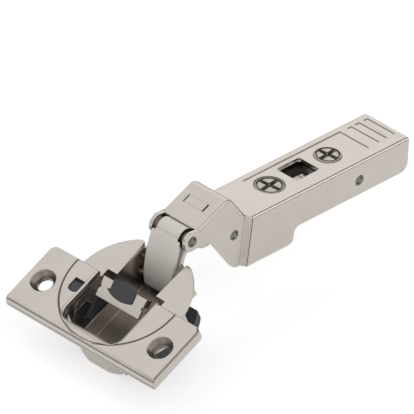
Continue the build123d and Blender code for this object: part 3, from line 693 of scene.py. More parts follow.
@dataclass(frozen=True)
class CrossScrew:
    """Adjusting screw with a cross recess, ringed by a groove near its rim.

    Attributes:
        node: CAD node of the screw.
        body: Body that carries it.
        x: Place of its axis along the arm.
        head_radius: Radius of the head.
        head_top: Height of the head's top.
        turn_deg: Turn of the recess from the arm's length.
        drive_width: Width of the tapered cutter at its top, which is a depth over the head.
        drive_depth: Depth of the recess.
        drive_taper: Length and width of the cutter's foot, as shares of those at its top.
        drive_gap: How much shorter the cutter is than the head inside its rim.
        drive_centre: Radius of the round middle of the recess.
        centre_wall: Height of that middle's upright wall, as a share of the depth.
        centre_foot: Radius at its foot, as a share of its radius.
        centre_sides: Corners round it.
        cutter_over: How far the middle's cutter stands over the head.
        rim: Width of the rim outside the groove.
        groove_width: Width of the groove.
        groove_depth: Depth of the groove.
        land_edge: Width and fall of the bevel on the groove's inner edge.
        head_edge: Width of the head's rounded edge.
        head_edge_part: How far in and down the middle of that edge is.
        flange_top: Height of the flange's top.
        flange_over: How far the flange stands out from the head.
        flange_thickness: Thickness of the flange.
        shank_radius: Radius over the thread, or of the plain peg.
        shank_end: Height of the shank's lower end.
        shank_tip: Width of the bevel at that end.
        pitch: Pitch of the thread.
        thread_depth: Depth of the thread.
        thread_shares: Parts of the pitch where the root ends, and the crest begins and ends.
        thread_out: Length without thread over the shank's end.
        peg_offset: How far the peg stands off the axis, or nought for a threaded shank.
        peg_sunk: How far the peg reaches into the flange.
        peg_tip: Width of the bevel at the peg's end.
        shade_reach: How far under the flange's top the faces with painted shade go.
        shade_under: How far under the head's top they begin.
    """

    node: str
    body: str
    x: float
    head_radius: float
    head_top: float
    turn_deg: float = 6.0
    drive_width: float = 1.95
    drive_depth: float = 1.0
    drive_taper: tuple[float, float] = (0.72, 0.45)
    drive_gap: float = 0.05
    drive_centre: float = 1.2
    centre_wall: float = 0.3
    centre_foot: float = 0.5
    centre_sides: int = 24
    cutter_over: float = 0.5
    rim: float = 0.32
    groove_width: float = 0.55
    groove_depth: float = 0.4
    land_edge: tuple[float, float] = (0.12, 0.1)
    head_edge: float = 0.18
    head_edge_part: float = 0.05
    flange_top: float = 8.55
    flange_over: float = 0.65
    flange_thickness: float = 0.55
    shank_radius: float = 2.2
    shank_end: float = 2.0
    shank_tip: float = 0.3
    pitch: float = 0.8
    thread_depth: float = 0.3
    thread_shares: tuple[float, float, float] = (0.25, 0.55, 0.7)
    thread_out: float = 0.4
    peg_offset: float = 0.0
    peg_sunk: float = 0.1
    peg_tip: float = 0.2
    shade_reach: float = 1.2
    shade_under: float = 0.12

    def head(self) -> bpy.types.Object:
        """Turn the head and its flange, and the threaded shank where it has one.

        Returns:
            The closed body.
        """
        top = self.head_top
        inner = self.head_radius - self.rim
        land = inner - self.groove_width
        deep = top - self.groove_depth
        flange = self.head_radius + self.flange_over
        under = self.flange_top - self.flange_thickness
        rings = [
            (land - self.land_edge[0], top),
            (land, top - self.land_edge[1]),
            (land, deep),
            (inner, deep),
            (inner, top),
            (self.head_radius - self.head_edge, top),
            (self.head_radius - self.head_edge_part, top - self.head_edge_part),
            (self.head_radius, top - self.head_edge),
            (self.head_radius, self.flange_top),
            (flange, self.flange_top),
            (flange, under),
        ]
        if self.peg_offset == 0:
            core = self.shank_radius - self.thread_depth
            height = under
            rings.append((core, height))
            root_end, crest_start, crest_end = self.thread_shares
            while height - self.pitch > self.shank_end + self.thread_out:
                rings.append((core, height - root_end * self.pitch))
                rings.append((self.shank_radius, height - crest_start * self.pitch))
                rings.append((self.shank_radius, height - crest_end * self.pitch))
                rings.append((core, height - self.pitch))
                height -= self.pitch
            rings.append((core, self.shank_end + self.shank_tip))
            rings.append((core - self.shank_tip, self.shank_end))
        return lathe(self.node + "_turned", self.x, rings)

    def peg(self) -> bpy.types.Object:
        """Turn the eccentric peg under the head.

        Returns:
            The peg.
        """
        rings = [
            (self.shank_radius, self.flange_top - self.peg_sunk),
            (self.shank_radius, self.shank_end + self.peg_tip),
            (self.shank_radius - self.peg_tip, self.shank_end),
        ]
        peg = lathe(self.node + "_peg", self.x, rings)
        peg.data.transform(Matrix.Translation((0, self.peg_offset * MM, 0)))
        return peg

    def bar(self, turn_deg: float) -> bpy.types.Object:
        """Make a tapered cutter for one pair of the recess's arms.

        Args:
            turn_deg: Turn of the bar about the screw's axis.

        Returns:
            The cutter.
        """
        bar = start_piece("recess_bar", bpy.ops.mesh.primitive_cube_add, size=1)
        length = 2 * (self.head_radius - self.rim) - self.drive_gap
        size = (length * MM, self.drive_width * MM, 2 * self.drive_depth * MM)
        bar.data.transform(Matrix.Diagonal((*size, 1)))
        pick_faces(bar, lambda centre, normal: normal.z < -SQUARE)
        bpy.ops.object.mode_set(mode="EDIT")
        bpy.ops.mesh.select_mode(type="FACE")
        bpy.ops.transform.resize(value=(*self.drive_taper, 1), center_override=(0, 0, 0))
        bpy.ops.object.mode_set(mode="OBJECT")
        turn = Matrix.Rotation(math.radians(turn_deg), 4, "Z")
        bar.data.transform(Matrix.Translation((self.x * MM, 0, self.head_top * MM)) @ turn)
        return bar

    def in_recess(self, centre: Vector, normal: Vector) -> bool:
        """Tell whether a face lies in the recess or the groove.

        Args:
            centre: The face's centre.
            normal: Its normal, which this test leaves open.

        Returns:
            True where the shade is painted.
        """
        place = centre / MM - Vector((self.x, 0, 0))
        radius = math.hypot(place.x, place.y)
        low = self.flange_top - self.shade_reach
        high = self.head_top - self.shade_under
        return radius < self.head_radius - self.rim and low < place.z < high

    def build(self, metal: bpy.types.Material, recess_shade: bpy.types.Material) -> None:
        """Make the screw, cut its recess and dress it.

        Args:
            metal: Material of the screw.
            recess_shade: Material with painted shade for the recess and the groove.
        """
        screw = self.head()
        for turn_deg in (self.turn_deg, self.turn_deg + 90):
            cut(screw, self.bar(turn_deg))
        rings = [
            (self.drive_centre, self.head_top + self.cutter_over),
            (self.drive_centre, self.head_top - self.centre_wall * self.drive_depth),
            (self.centre_foot * self.drive_centre, self.head_top - self.drive_depth),
        ]
        cut(screw, lathe("recess_centre", self.x, rings, self.centre_sides))
        if self.peg_offset:
            peg = self.peg()
            select_only(screw)
            peg.select_set(True)
            bpy.ops.object.join()
        smooth(screw)
        dress(screw, metal)
        # Painted shade in the recess and the groove.
        touch_up(screw, recess_shade, self.in_recess)
        settle(screw, self.body, (self.node,))


@dataclass
class Arm:
    """Pressed arm with its pins and adjusting screws.

    Attributes:
        mark_front: Place along the arm behind which its top is marked.
        mark_half: How far the marks reach to each side.
        mark_height: Heights between which a face of a mark lies.
        bend_x: Place of the crank's outer bend along the arm, at the height of nought.
        bend_slant: How far the bend goes along the arm for each step up.
        bend_half: Half of the bend's width.
        bend_side: How far from the arm's middle the bend is.
        bend_turn: Least and greatest part of the bend's normals towards the cup.
        pins: The pins across the arm.
        cross_screws: The two adjusting screws.
    """

    # Rolled strip, nickel plated: broad soft reflections in a warm pale grey.
    shell: PressedNickel = PressedNickel("pressed nickel arm")
    # The same strip with painted shade in the pressed marks: greyer and matt.
    marks: PressedNickel = PressedNickel(
        "nickel with painted shade in marks", tint="B4ACA5", shade="A39B94", roughness=0.5
    )
    mark_front: float = -26.0
    mark_half: float = 7.4
    mark_height: tuple[float, float] = (9.42, 9.72)
    # Painted dark reflection on the crank's outer bend: a thin dark line.
    bend_dark_line: PressedNickel = PressedNickel(
        "nickel with painted dark bend line", tint="6E665F", shade="5F5852", roughness=0.5
    )
    bend_x: float = -35.09
    bend_slant: float = 0.093
    bend_half: float = 0.3
    bend_side: float = 8.4
    bend_turn: tuple[float, float] = (0.1, 0.8)
    # Zinc on turned pins: a darker grey with small bright breaks.
    turned: TurnedSteel = TurnedSteel("turned steel pins")
    # Thicker plating on the screws, nearly as pale as the arm.
    screws: TurnedSteel = TurnedSteel("plated steel screws", tint="D2CBC4", shade="ABA49D")
    # The same screws with painted shade in the recess and the groove: brownish and dull.
    recess_shade: TurnedSteel = TurnedSteel(
        "screw steel with painted recess shade", tint="968E86", shade="7E766F", roughness=0.45
    )
    pins: tuple[RivetPin, ...] = (
        RivetPin("front_pin", "arm"),
        RivetPin("mid_pin", "arm"),
        RivetPin("rear_pin", "depth_slider"),
    )
    cross_screws: tuple[CrossScrew, ...] = (
        CrossScrew("side_adjust_screw", "side_screw", x=-18.75, head_radius=4.25, head_top=9.7),
        CrossScrew(
            "depth_cam_screw",
            "cam_screw",
            x=4.3,
            head_radius=3.95,
            head_top=10.1,
            shank_radius=1.2,
            shank_end=5.8,
            peg_offset=2.31,
        ),
    )

    def in_mark(self, centre: Vector, normal: Vector) -> bool:
        """Tell whether a face lies in a mark pressed into the arm's top.

        Args:
            centre: The face's centre.
            normal: Its normal, which this test leaves open.

        Returns:
            True in a mark.
        """
        place = centre / MM
        low, high = self.mark_height
        return (
            place.x > self.mark_front and low < place.z < high and abs(place.y) < self.mark_half
        )

    def on_bend(self, centre: Vector, normal: Vector) -> bool:
        """Tell whether a face rounds the crank's outer bend.

        Args:
            centre: The face's centre.
            normal: Its normal.

        Returns:
            True on the bend, on either side of the arm.
        """
        place = centre / MM
        off = place.x - self.bend_x - self.bend_slant * place.z
        least, most = self.bend_turn
        return (
            abs(off) < self.bend_half
            and abs(place.y) > self.bend_side
            and least < -normal.x < most
        )

    def build(self) -> None:
        """Make the arm's shell, pins, screws and nut."""
        shell = eased("arm_shell", "arm", self.shell.material())
        # Painted shade in the marks pressed into the top.
        touch_up(shell, self.marks.material(), self.in_mark)
        # Painted dark reflection line on the crank's outer bend.
        touch_up(shell, self.bend_dark_line.material(), self.on_bend)
        pin_metal = self.turned.material()
        for pin in self.pins:
            pin.build(pin_metal)
        screw_metal = self.screws.material()
        recess_shade = self.recess_shade.material()
        for screw in self.cross_screws:
            screw.build(screw_metal, recess_shade)
        eased("adjust_nut", "depth_slider", screw_metal)


@dataclass
class ClipMechanism:
    """Carrier and lever that clip onto the mounting plate.

    Attributes:
        channel_half: Half of the carrier's width inside its channel, and a little more.
        channel_turn: Least turn towards the middle of a face inside the channel.
        tongue_low: Lowest corner of the tongue in the web's window.
        tongue_high: Highest corner of the tongue.
        tongue_edge: Rounding of the tongue.
        dome_place: Place of the dimple on the tongue.
        dome_radius: Radius of the dimple.
        dome_flat: Height of the dimple, as a share of its radius.
    """

    # Rolled strip, nickel plated, a little duller than the arm.
    strip: PressedNickel = PressedNickel("pressed nickel carrier", roughness=0.28)
    # Painted shade on the same strip inside the channel: nearly black and dull.
    dull: PressedNickel = PressedNickel(
        "nickel with painted channel shade", tint="2A2522", shade="201C1A", roughness=0.5
    )
    # Zinc on the turned pin: a darker grey.
    turned: TurnedSteel = TurnedSteel("turned steel lever pin")
    channel_half: float = 6.2
    channel_turn: float = 0.1
    tongue_low: tuple[float, float, float] = (-12.4, -4.2, 5.75)
    tongue_high: tuple[float, float, float] = (-3.2, 1.7, 6.65)
    tongue_edge: float = 0.2
    dome_place: tuple[float, float] = (-5.1, 0.5)
    dome_radius: float = 0.95
    dome_flat: float = 0.55

    def in_channel(self, centre: Vector, normal: Vector) -> bool:
        """Tell whether a face looks into the channel, where light hardly reaches."""
        y = centre.y / MM
        return abs(y) < self.channel_half and y * normal.y < -self.channel_turn

    def tongue(self, strip: bpy.types.Material) -> None:
        """Press the tongue that stands in the web's window, with a dimple near its end.

        Args:
            strip: Material of the carrier.
        """
        low, high = Vector(self.tongue_low), Vector(self.tongue_high)
        tongue = start_piece("window_tongue", bpy.ops.mesh.primitive_cube_add, size=1)
        tongue.data.transform(Matrix.Diagonal((*((high - low) * MM), 1)))
        tongue.data.transform(Matrix.Translation((low + high) / 2 * MM))
        apply_modifier(tongue, "BEVEL", width=self.tongue_edge * MM, segments=3)
        dome = start_piece(
            "tongue_dome",
            bpy.ops.mesh.primitive_uv_sphere_add,
            segments=24,
            ring_count=12,
            radius=self.dome_radius * MM,
        )
        dome.data.transform(Matrix.Diagonal((1, 1, self.dome_flat, 1)))
        dome.data.transform(Matrix.Translation((*(Vector(self.dome_place) * MM), high.z * MM)))
        apply_modifier(tongue, "BOOLEAN", operation="UNION", object=dome, solver="EXACT")
        bpy.data.objects.remove(dome)
        smooth(tongue)
        dress(tongue, strip)
        settle(tongue, "carrier", ())

    def build(self) -> None:
        """Make the carrier, its tongue, the lever and its pin."""
        strip = self.strip.material()
        carrier = eased("carrier", "carrier", strip)
        # Painted shade inside the channel.
        touch_up(carrier, self.dull.material(), self.in_channel)
        self.tongue(strip)
        eased("clip_lever", "clip_lever", strip)
        RivetPin("lever_pin", "carrier").build(self.turned.material())


@dataclass
class Linkage:
    """Two pressed links between the arm and the cup.

    Attributes:
        eye_place: Place of the outer link's rolled eye, along and up.
        eye_radius: Radius round it that takes in the whole end of the eye.
    """

    # Thick satin plating, which scatters light nearly as a matt skin does, and
    # painted shade near the cup, brownish, darker towards the links' lower ends.
    strip: PressedNickel = PressedNickel(
        "satin nickel links",
        tint="EAE3DC",
        shade="DCD5CE",
        roughness=0.45,
        turn_deg=70,
        metallic=0.2,
        painted_shade=PaintedShade("6E645E", axis=(0.0, 0.0, 1.0), low_mm=-9.5, high_mm=-5.0),
    )
    # Painted shade on the rolled eye's flat ends, for the dark hollow of the eye: nearly black.
    rolled: PressedNickel = PressedNickel(
        "nickel with painted eye end shade", tint="4A423D", shade="3C3531", roughness=0.5
    )
    eye_place: tuple[float, float] = (-56.1, 10.2)
    eye_radius: float = 3.4

    def at_eye_end(self, centre: Vector, normal: Vector) -> bool:
        """Tell whether a face is part of the flat ends of the rolled eye.

        Args:
            centre: The face's centre.
            normal: Its normal.

        Returns:
            True at the eye's ends.
        """
        place = centre / MM
        reach = math.hypot(place.x - self.eye_place[0], place.z - self.eye_place[1])
        return abs(normal.y) > SQUARE and reach < self.eye_radius

    def build(self) -> None:
        """Make the links, with painted shade at the ends of the rolled eye."""
        strip = self.strip.material()
        outer = eased("outer_link", "outer_link", strip)
        # Painted shade on the ends of the rolled eye.
        touch_up(outer, self.rolled.material(), self.at_eye_end)
        eased("inner_link", "inner_link", strip)


@dataclass
class Cup:
    """Drawn cup, its cover plate and the soft-close parts inside.

    The cup's own axes start at the cup's centre in the cover's top: x runs towards
    the arm, y across and z out of the cup.

    Attributes:
        centre: Start of the cup's own axes in the frame.
        tilt_deg: Turn of those axes.
        ring_height: Heights between which a face of the ring mark lies.
        ring_radius: Radii between which it lies.
        hole_place: Place of one screw hole. The other is its mirror image.
        hole_reach: Radius of the countersink, and a little more.
        hole_under: Height under which a face is in the countersink.
        end_from: Distance to the side from which a face is at the cover's ends.
        end_low: Height over which it is on the bevel there.
        end_rise: Least and greatest part of the bevel's normals out of the cup.
        front_from: Place in front of which a face is on the cover's front edge.
        upper_reflection_line: Heights of the upper painted dark reflection line across that edge.
        lower_reflection_line: Heights of the lower, darker painted reflection line across that
            edge.
        trough_half: Half of the trough's width inside.
        trough_top: Height of the trough's top.
        trough_middle: Point that the faces inside the trough look at.
        rim_under: How far under the cover's top the rim goes.
        rim_radius: Radius of the rim.
        ear_side: Where the rim's back corners start, from the middle.
        ear_radius: Radius of those corners once they are rounded.
        ear_start: Size of the first bevel on them.
        ear_depth: How far from the very back a corner's edge may be.
        ear_steps: Steps of the rounding.
        mouth_front: Front edge of the mouth.
        mouth_back: Where the roll round the mouth ends.
        mouth_past: How much longer the outline is that the roll is cut from.
        mouth_half: Half of the mouth's width.
        mouth_corner: Size of the mouth's front corners.
        corner_steps: Steps round such a corner.
        roll_radius: Radius of the roll.
        roll_steps: Steps of the roll.
        roll_drop: Height of the straight wall under the roll.
        drop_inset_m: How far that wall leans, in metres, so that its inset isn't nought.
        roll_thickness: Thickness of the sheet.
        roll_sharp_deg: Angle over which the roll's edges stay sharp.
    """

    # Rolled strip, nickel plated, with its grain along the tilted cover.
    plate: PressedNickel = PressedNickel("pressed nickel plate", turn_deg=CUP_GRAIN_DEG)
    # The same sheet with painted shade in the pressed ring and a painted dark reflection line
    # across the front edge: greyer and matt.
    marks: PressedNickel = PressedNickel(
        "nickel with painted ring shade and edge line", tint="8F8780", shade="7D756F", roughness=0.5, turn_deg=CUP_GRAIN_DEG
    )
    # Painted shade in the countersinks, and the bevels at the cover's ends painted darker too.
    sunk: PressedNickel = PressedNickel(
        "nickel with painted countersink shade",
        tint="8F8780",
        shade="7F7770",
        roughness=0.3,
        turn_deg=CUP_GRAIN_DEG,
    )
    # Painted dark reflection line across the cover's front edge: a thin dark line.
    front_reflection_line: PressedNickel = PressedNickel(
        "nickel with painted edge reflection line", tint="7A726B", shade="6A625C", roughness=0.5, turn_deg=CUP_GRAIN_DEG
    )
    # Deep-drawn sheet, plated after drawing: as pale as the cover.
    drawn: PressedNickel = PressedNickel("drawn nickel cup", turn_deg=CUP_GRAIN_DEG)
    # The same sheet inside the trough with painted shade: greyer, and
    # darker still with depth along the cup's own z.
    deep: PressedNickel = PressedNickel(
        "nickel with painted trough shade",
        tint="B5ACA5",
        shade="A59C95",
        roughness=0.34,
        turn_deg=CUP_GRAIN_DEG,
        painted_shade=PaintedShade("8A817B", axis=(-0.4488, 0.0, 0.8936), low_mm=22.0, high_mm=30.5),
    )
    # Stamped strip of the actuator, nickel plated: as pale, a touch duller.
    bracket: PressedNickel = PressedNickel("pressed nickel bracket", roughness=0.26)
    # Zinc on turned pins: a darker grey.
    turned: TurnedSteel = TurnedSteel("turned steel cup pins")
    # Acetal of the pusher and the switch: dark grey with a soft sheen.
    pusher: MouldedPlastic = MouldedPlastic("moulded grey plastic", "434346", "3D3D40")
    # Glass-filled nylon of the damper's housing: a greyish black.
    housing: MouldedPlastic = MouldedPlastic("moulded black plastic", "3A3A3C", "303032")
    centre: tuple[float, float, float] = (-74.98, 0.0, -0.47)
    tilt_deg: float = 26.67
    ring_height: tuple[float, float] = (-0.36, -0.08)
    ring_radius: tuple[float, float] = (18.3, 18.85)
    hole_place: tuple[float, float] = (-9.5, 22.5)
    hole_reach: float = 3.9
    hole_under: float = -0.25
    end_from: float = 27.0
    end_low: float = -1.2
    end_rise: tuple[float, float] = (0.3, 0.97)
    front_from: float = -18.8
    upper_reflection_line: tuple[float, float] = (-0.8, -0.65)
    lower_reflection_line: tuple[float, float] = (-2.3, -2.15)
    trough_half: float = 7.25
    trough_top: float = -1.5
    trough_middle: tuple[float, float, float] = (0.0, 0.0, -7.0)
    rim_under: float = 3.6
    rim_radius: float = 19.0
    ear_side: float = 7.4
    ear_radius: float = 1.5
    ear_start: float = 0.9
    ear_depth: float = 0.2
    ear_steps: int = 5
    mouth_front: float = -16.8
    mouth_back: float = 1.35
    mouth_past: float = 6.0
    mouth_half: float = 11.4
    mouth_corner: float = 4.5
    corner_steps: int = 10
    roll_radius: float = 0.55
    roll_steps: int = 5
    roll_drop: float = 1.2
    drop_inset_m: float = 0.000005
    roll_thickness: float = 0.22
    roll_sharp_deg: float = 40.0

    def to_frame(self) -> Matrix:
        """Give the matrix that puts the cup's own axes, in metres, into the frame."""
        turn = Matrix.Rotation(-math.radians(self.tilt_deg), 4, "Y")
        return Matrix.Translation(Vector(self.centre) * MM) @ turn

    def turned_back(self, direction: Vector) -> Vector:
        """Turn a direction of the frame into the cup's own axes."""
        return Matrix.Rotation(math.radians(self.tilt_deg), 3, "Y") @ direction

    def in_cup(self, point: Vector) -> Vector:
        """Turn a point of the frame into the cup's own axes, in millimetres."""
        return self.turned_back(point / MM - Vector(self.centre))

    def is_mark(self, centre: Vector, normal: Vector) -> bool:
        """Tell whether a face lies in the ring mark or on the upper painted reflection line of
        the front edge.

        Args:
            centre: The face's centre.
            normal: Its normal, which this test leaves open.

        Returns:
            True in either.
        """
        place = self.in_cup(centre)
        low, high = self.ring_height
        inner, outer = self.ring_radius
        in_ring = low < place.z < high and inner < math.hypot(place.x, place.y) < outer
        return in_ring or self.on_front(place, self.upper_reflection_line)

    def on_front(self, place: Vector, line: tuple[float, float]) -> bool:
        """Tell whether a place, in the cup's axes, is on a line of the front edge."""
        return place.x < self.front_from and line[0] < place.z < line[1]

    def is_sunk(self, centre: Vector, normal: Vector) -> bool:
        """Tell whether a face is in a countersink or on the bevel of the cover's ends.

        Args:
            centre: The face's centre.
            normal: Its normal.

        Returns:
            True in either.
        """
        place = self.in_cup(centre)
        reach = (Vector((place.x, abs(place.y))) - Vector(self.hole_place)).length
        in_hole = place.z < self.hole_under and reach < self.hole_reach
        at_end = abs(place.y) > self.end_from and place.z > self.end_low
        least, most = self.end_rise
        return in_hole or (at_end and least < self.turned_back(normal).z < most)

    def mouth_roll(self, material: bpy.types.Material) -> None:
        """Roll the cover's sheet down round the mouth, in steps of a quarter round.

        Args:
            material: Material of the cover.
        """
        back = self.mouth_back + self.mouth_past
        roll = start_piece("mouth_roll", bpy.ops.mesh.primitive_plane_add, size=1)
        size = ((back - self.mouth_front) * MM, 2 * self.mouth_half * MM, 1, 1)
        roll.data.transform(Matrix.Diagonal(size))
        roll.data.transform(Matrix.Translation(((back + self.mouth_front) / 2 * MM, 0, 0)))
        bpy.ops.object.mode_set(mode="EDIT")
        bpy.ops.mesh.select_mode(type="VERT")
        bpy.ops.mesh.select_all(action="DESELECT")
        bpy.ops.object.mode_set(mode="OBJECT")
        for vertex in roll.data.vertices:
            vertex.select = vertex.co.x < 0
        bpy.ops.object.mode_set(mode="EDIT")
        bpy.ops.mesh.bevel(
            offset=self.mouth_corner * MM,
            segments=self.corner_steps,
            affect="VERTICES",
            profile=0.5,
        )
        bpy.ops.mesh.select_mode(type="FACE")
        bpy.ops.mesh.select_all(action="SELECT")
        before = (0.0, 0.0)
        for step in range(1, self.roll_steps + 1):
            angle = math.pi / 2 * step / self.roll_steps
            after = (self.roll_radius * math.sin(angle), self.roll_radius * (1 - math.cos(angle)))
            bpy.ops.mesh.inset(
                thickness=(after[0] - before[0]) * MM,
                depth=-(after[1] - before[1]) * MM,
                use_boundary=True,
            )
            before = after
        bpy.ops.mesh.inset(
            thickness=self.drop_inset_m, depth=-self.roll_drop * MM, use_boundary=True
        )
        bpy.ops.mesh.delete(type="FACE")
        bpy.ops.mesh.select_all(action="SELECT")
        bpy.ops.mesh.bisect(
            plane_co=(self.mouth_back * MM, 0, 0), plane_no=(1, 0, 0), clear_outer=True
        )
        bpy.ops.object.mode_set(mode="OBJECT")
        roll.data.transform(self.to_frame())
        apply_modifier(roll, "SOLIDIFY", thickness=self.roll_thickness * MM, offset=-1)
        smooth(roll, self.roll_sharp_deg)
        dress(roll, material)
        settle(roll, "cup", ())

    def round_ears(self, piece: bpy.types.Object) -> None:
        """Round the pointed back corners of the rim.

        The two corner edges are bevelled first. The vertices of the bevels that
        stand out past the corner's circle are then drawn in onto it.

        Args:
            piece: Joined copy of the cup, in object mode.
        """
        mesh = piece.data
        places = [self.in_cup(vertex.co) for vertex in mesh.vertices]
        back = max(place.x for place in places if place.z > -self.rim_under)
        ear_y = self.ear_side + self.ear_radius
        ear_x = math.sqrt((self.rim_radius - self.ear_radius) ** 2 - ear_y**2)
        deselect_mesh(mesh)
        for edge in mesh.edges:
            one, two = (places[index] for index in edge.vertices)
            upright = math.hypot(one.x - two.x, one.y - two.y) < TOUCH
            in_rim = min(one.z, two.z) > -self.rim_under
            if upright and in_rim and one.x > back - self.ear_depth:
                edge.select = True
        bpy.ops.object.mode_set(mode="EDIT")
        bpy.ops.mesh.select_mode(type="EDGE")
        bpy.ops.mesh.bevel(
            offset=self.ear_start * MM,
            segments=self.ear_steps,
            affect="EDGES",
            clamp_overlap=True,
        )
        bpy.ops.object.mode_set(mode="OBJECT")
        for vertex in mesh.vertices:
            place = self.in_cup(vertex.co)
            reach = Vector((place.x - ear_x, abs(place.y) - ear_y))
            in_rim = place.z > -self.rim_under and abs(place.y) > self.ear_side - TOUCH
            stands_out = reach.x > 0 and reach.length > self.ear_radius
            past_arc = reach.y * ear_x > reach.x * ear_y
            if in_rim and stands_out and not past_arc:
                reach.length = self.ear_radius
                side = math.copysign(1, place.y)
                spot = Vector((ear_x + reach.x, side * (ear_y + reach.y), place.z))
                vertex.co = self.to_frame() @ (spot * MM)

    def in_trough(self, centre: Vector, normal: Vector) -> bool:
        """Tell whether a face looks into the trough.

        Args:
            centre: The face's centre.
            normal: Its normal.

        Returns:
            True inside the trough.
        """
        place = self.in_cup(centre)
        inward = self.turned_back(normal).dot(Vector(self.trough_middle) - place) > 0
        return abs(place.y) < self.trough_half and place.z < self.trough_top and inward

    def build(self) -> None:
        """Make the cup's pieces."""
        shell = Easing().copy_of("cup_shell", "cup_shell_eased", self.round_ears)
        dress(shell, self.drawn.material())
        # Painted shade inside the trough, darker with depth.
        touch_up(shell, self.deep.material(), self.in_trough)
        settle(shell, "cup", ("cup_shell",))
        cover = self.plate.material()
        plate = eased("flange_plate", "cup", cover)
        # Painted shade in the countersinks; the bevels at the cover's ends darker too.
        touch_up(plate, self.sunk.material(), self.is_sunk)
        # Painted shade in the ring mark, and a painted dark reflection line on the front edge.
        touch_up(plate, self.marks.material(), self.is_mark)
        # Painted dark reflection line lower on the front edge.
        touch_up(
            plate,
            self.front_reflection_line.material(),
            lambda centre, normal: self.on_front(self.in_cup(centre), self.lower_reflection_line),
        )
        self.mouth_roll(cover)
        eased("actuator_bracket", "actuator", self.bracket.material())
        pin_metal = self.turned.material()
        RivetPin("outer_cup_pin", "cup").build(pin_metal)
        RivetPin("inner_cup_pin", "cup").build(pin_metal)
        pusher = self.pusher.material()
        moulded = Easing(width_mm=0.2, segments=3)
        eased("actuator_block", "actuator", pusher, moulded)
        eased("soft_close_switch", "switch", pusher, Easing(width_mm=0.12))
        eased("damper_housing", "cup", self.housing.material(), moulded)


@dataclass(frozen=True)
class SoftLamp:
    """Square soft lamp that points at the hinge.

    Attributes:
        name: Name of the lamp.
        place: Where it hangs, in metres.
        size: Length of its side in metres.
        watts: Its power.
    """

    name: str
    place: tuple[float, float, float]
    size: float
    watts: float

    def hang(self) -> None:
        """Hang the lamp."""
        light = bpy.data.lights.new(self.name, "AREA")
        light.size = self.size
        light.energy = self.watts
        lamp = bpy.data.objects.new(self.name, light)
        bpy.context.scene.collection.objects.link(lamp)
        place = Vector(self.place)
        lamp.location = place
        lamp.rotation_mode = "QUATERNION"
        lamp.rotation_quaternion = place.to_track_quat("Z", "Y")


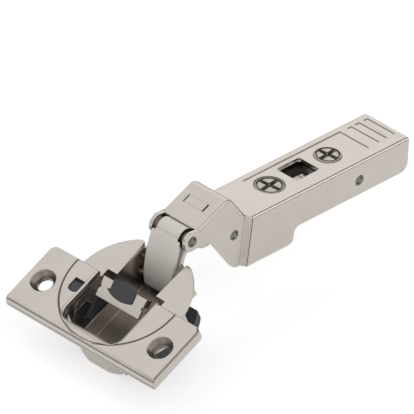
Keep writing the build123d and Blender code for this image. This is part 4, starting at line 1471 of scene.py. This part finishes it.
@dataclass
class Studio:
    """Plain pale floor, soft lamps and the camera.

    Places of walls, diffusers and gap are parts of a direction, from -1 to 1.

    Attributes:
        floor_drop: Gap between the hinge and the floor, in metres.
        floor_size: Length of the floor's side in metres.
        floor_tint: Colour of the floor.
        floor_roughness: Roughness of the floor.
        camera_glow: Light that the camera sees on the floor besides what falls on it.
        glossy_glow: The same as it is mirrored in metal.
        sky: Light of the far diffuser over the walls.
        near_level: Light of the near diffuser, as a multiple of the far one's.
        wall_dark: Light of the walls.
        wall_low: Height where the diffusers begin to fade in.
        wall_high: Height where they are whole.
        gap_half: Half of the dark gap between the diffusers.
        gap_blend: Width over which each diffuser fades in beside it.
        back_wall: Light of the pale back wall.
        back_from: Place along the arm at which the back wall begins to fade in.
        back_whole: Place at which it is whole.
        lamps: The lamps.
        eye: Place of the camera, in metres.
        right: Direction of the picture's width.
        up: Direction of the picture's height.
        lens: Focal length in millimetres.
    """

    floor_drop: float = 0.0002
    floor_size: float = 14.0
    floor_tint: str = "DCDCDC"
    floor_roughness: float = 0.9
    camera_glow: float = 0.56
    glossy_glow: float = 0.3
    sky: float = 0.8
    near_level: float = 1.25
    wall_dark: float = 0.08
    wall_low: float = 0.06
    wall_high: float = 0.38
    gap_half: float = 0.12
    gap_blend: float = 0.22
    back_wall: float = 0.5
    back_from: float = 0.35
    back_whole: float = 0.05
    lamps: tuple[SoftLamp, ...] = (
        SoftLamp("key_lamp", (0.75, 0.68, 0.64), size=0.9, watts=0.4),
        SoftLamp("fill_lamp", (-0.95, -0.15, 0.12), size=0.5, watts=0.5),
        SoftLamp("edge_lamp", (0.69, -0.62, 0.58), size=0.3, watts=0.15),
    )
    eye: tuple[float, float, float] = (-2.0799, -1.8795, 1.7733)
    right: tuple[float, float, float] = (0.6993, -0.7132, 0.0475)
    up: tuple[float, float, float] = (0.3552, 0.4045, 0.8428)
    lens: float = 1043.5

    def floor(self) -> None:
        """Lay the floor just under the hinge, white to the camera and in the metal."""
        lowest = min(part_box(name)[0].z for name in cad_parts)
        floor = start_piece(
            "studio_floor", bpy.ops.mesh.primitive_plane_add, size=self.floor_size
        )
        floor.data.transform(Matrix.Translation((0, 0, lowest - self.floor_drop)))
        # Uncoated white card: light scatters evenly and no reflection shows.
        material, shader = start_material("matt white card")
        tree = material.node_tree
        shader.inputs["Base Color"].default_value = linear(self.floor_tint)
        shader.inputs["Roughness"].default_value = self.floor_roughness
        path = add_node(tree, "ShaderNodeLightPath")
        mirrored = add_node(
            tree,
            "ShaderNodeMath",
            {"operation": "MULTIPLY", 1: self.glossy_glow},
            {0: path.outputs["Is Glossy Ray"]},
        )
        glow = add_node(
            tree,
            "ShaderNodeMath",
            {"operation": "MULTIPLY_ADD", 1: self.camera_glow},
            {0: path.outputs["Is Camera Ray"], 2: mirrored.outputs[0]},
        )
        shader.inputs["Emission Color"].default_value = (1, 1, 1, 1)
        tree.links.new(glow.outputs[0], shader.inputs["Emission Strength"])
        dress(floor, material)

    def world(self) -> None:
        """Hang two diffusers with a gap between, over dark walls and a pale back wall."""
        world = bpy.data.worlds.new("studio_world")
        bpy.context.scene.world = world
        world.use_nodes = True
        tree = world.node_tree
        backdrop = tree.nodes["Background"]
        backdrop.inputs["Color"].default_value = (1, 1, 1, 1)
        place = add_node(tree, "ShaderNodeTexCoord")
        parts = add_node(
            tree, "ShaderNodeSeparateXYZ", links={"Vector": place.outputs["Generated"]}
        )
        gap_end = self.gap_half + self.gap_blend
        over_walls, far, near, back = (
            add_node(
                tree,
                "ShaderNodeMapRange",
                {
                    "interpolation_type": "SMOOTHSTEP",
                    "From Min": start,
                    "From Max": end,
                    "To Min": start_light,
                    "To Max": end_light,
                },
                {"Value": parts.outputs[axis]},
            ).outputs["Result"]
            for axis, start, end, start_light, end_light in (
                ("Z", self.wall_low, self.wall_high, 0.0, self.sky),
                ("Y", self.gap_half, gap_end, 0.0, 1.0),
                ("Y", -self.gap_half, -gap_end, 0.0, self.near_level),
                ("X", self.back_whole, self.back_from, self.back_wall, 0.0),
            )
        )
        both = add_node(tree, "ShaderNodeMath", {"operation": "ADD"}, {0: far, 1: near})
        lit = add_node(
            tree,
            "ShaderNodeMath",
            {"operation": "MULTIPLY_ADD", 2: self.wall_dark},
            {0: over_walls, 1: both.outputs[0]},
        )
        brighter = add_node(
            tree, "ShaderNodeMath", {"operation": "MAXIMUM"}, {0: lit.outputs[0], 1: back}
        )
        path = add_node(tree, "ShaderNodeLightPath")
        strength = add_node(
            tree,
            "ShaderNodeMix",
            {"data_type": "FLOAT", 3: 1.0},
            {0: path.outputs["Is Camera Ray"], 2: brighter.outputs[0]},
        )
        tree.links.new(strength.outputs[0], backdrop.inputs["Strength"])

    def camera(self) -> None:
        """Stand the camera far off, as the photograph's long lens does."""
        data = bpy.data.cameras.new("photo_camera")
        data.lens = self.lens
        data.sensor_width = 36
        data.clip_start = 0.5
        data.clip_end = 10
        camera = bpy.data.objects.new("photo_camera", data)
        bpy.context.scene.collection.objects.link(camera)
        right, up = Vector(self.right), Vector(self.up)
        turn = Matrix((right, up, right.cross(up))).transposed().to_4x4()
        camera.matrix_world = Matrix.Translation(self.eye) @ turn
        bpy.context.scene.camera = camera

    def build(self) -> None:
        """Set up the whole studio."""
        self.floor()
        self.world()
        for lamp in self.lamps:
            lamp.hang()
        self.camera()
        bpy.context.scene.view_settings.view_transform = "Standard"


def main() -> None:
    """Build the hinge's looks piece by piece, then the studio."""
    logging.basicConfig(level=logging.INFO, format="%(message)s")
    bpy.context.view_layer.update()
    for assembly in (Arm(), ClipMechanism(), Linkage(), Cup(), Studio()):
        assembly.build()
        LOG.info("built %s", type(assembly).__name__)


if __name__ == "__main__":
    main()
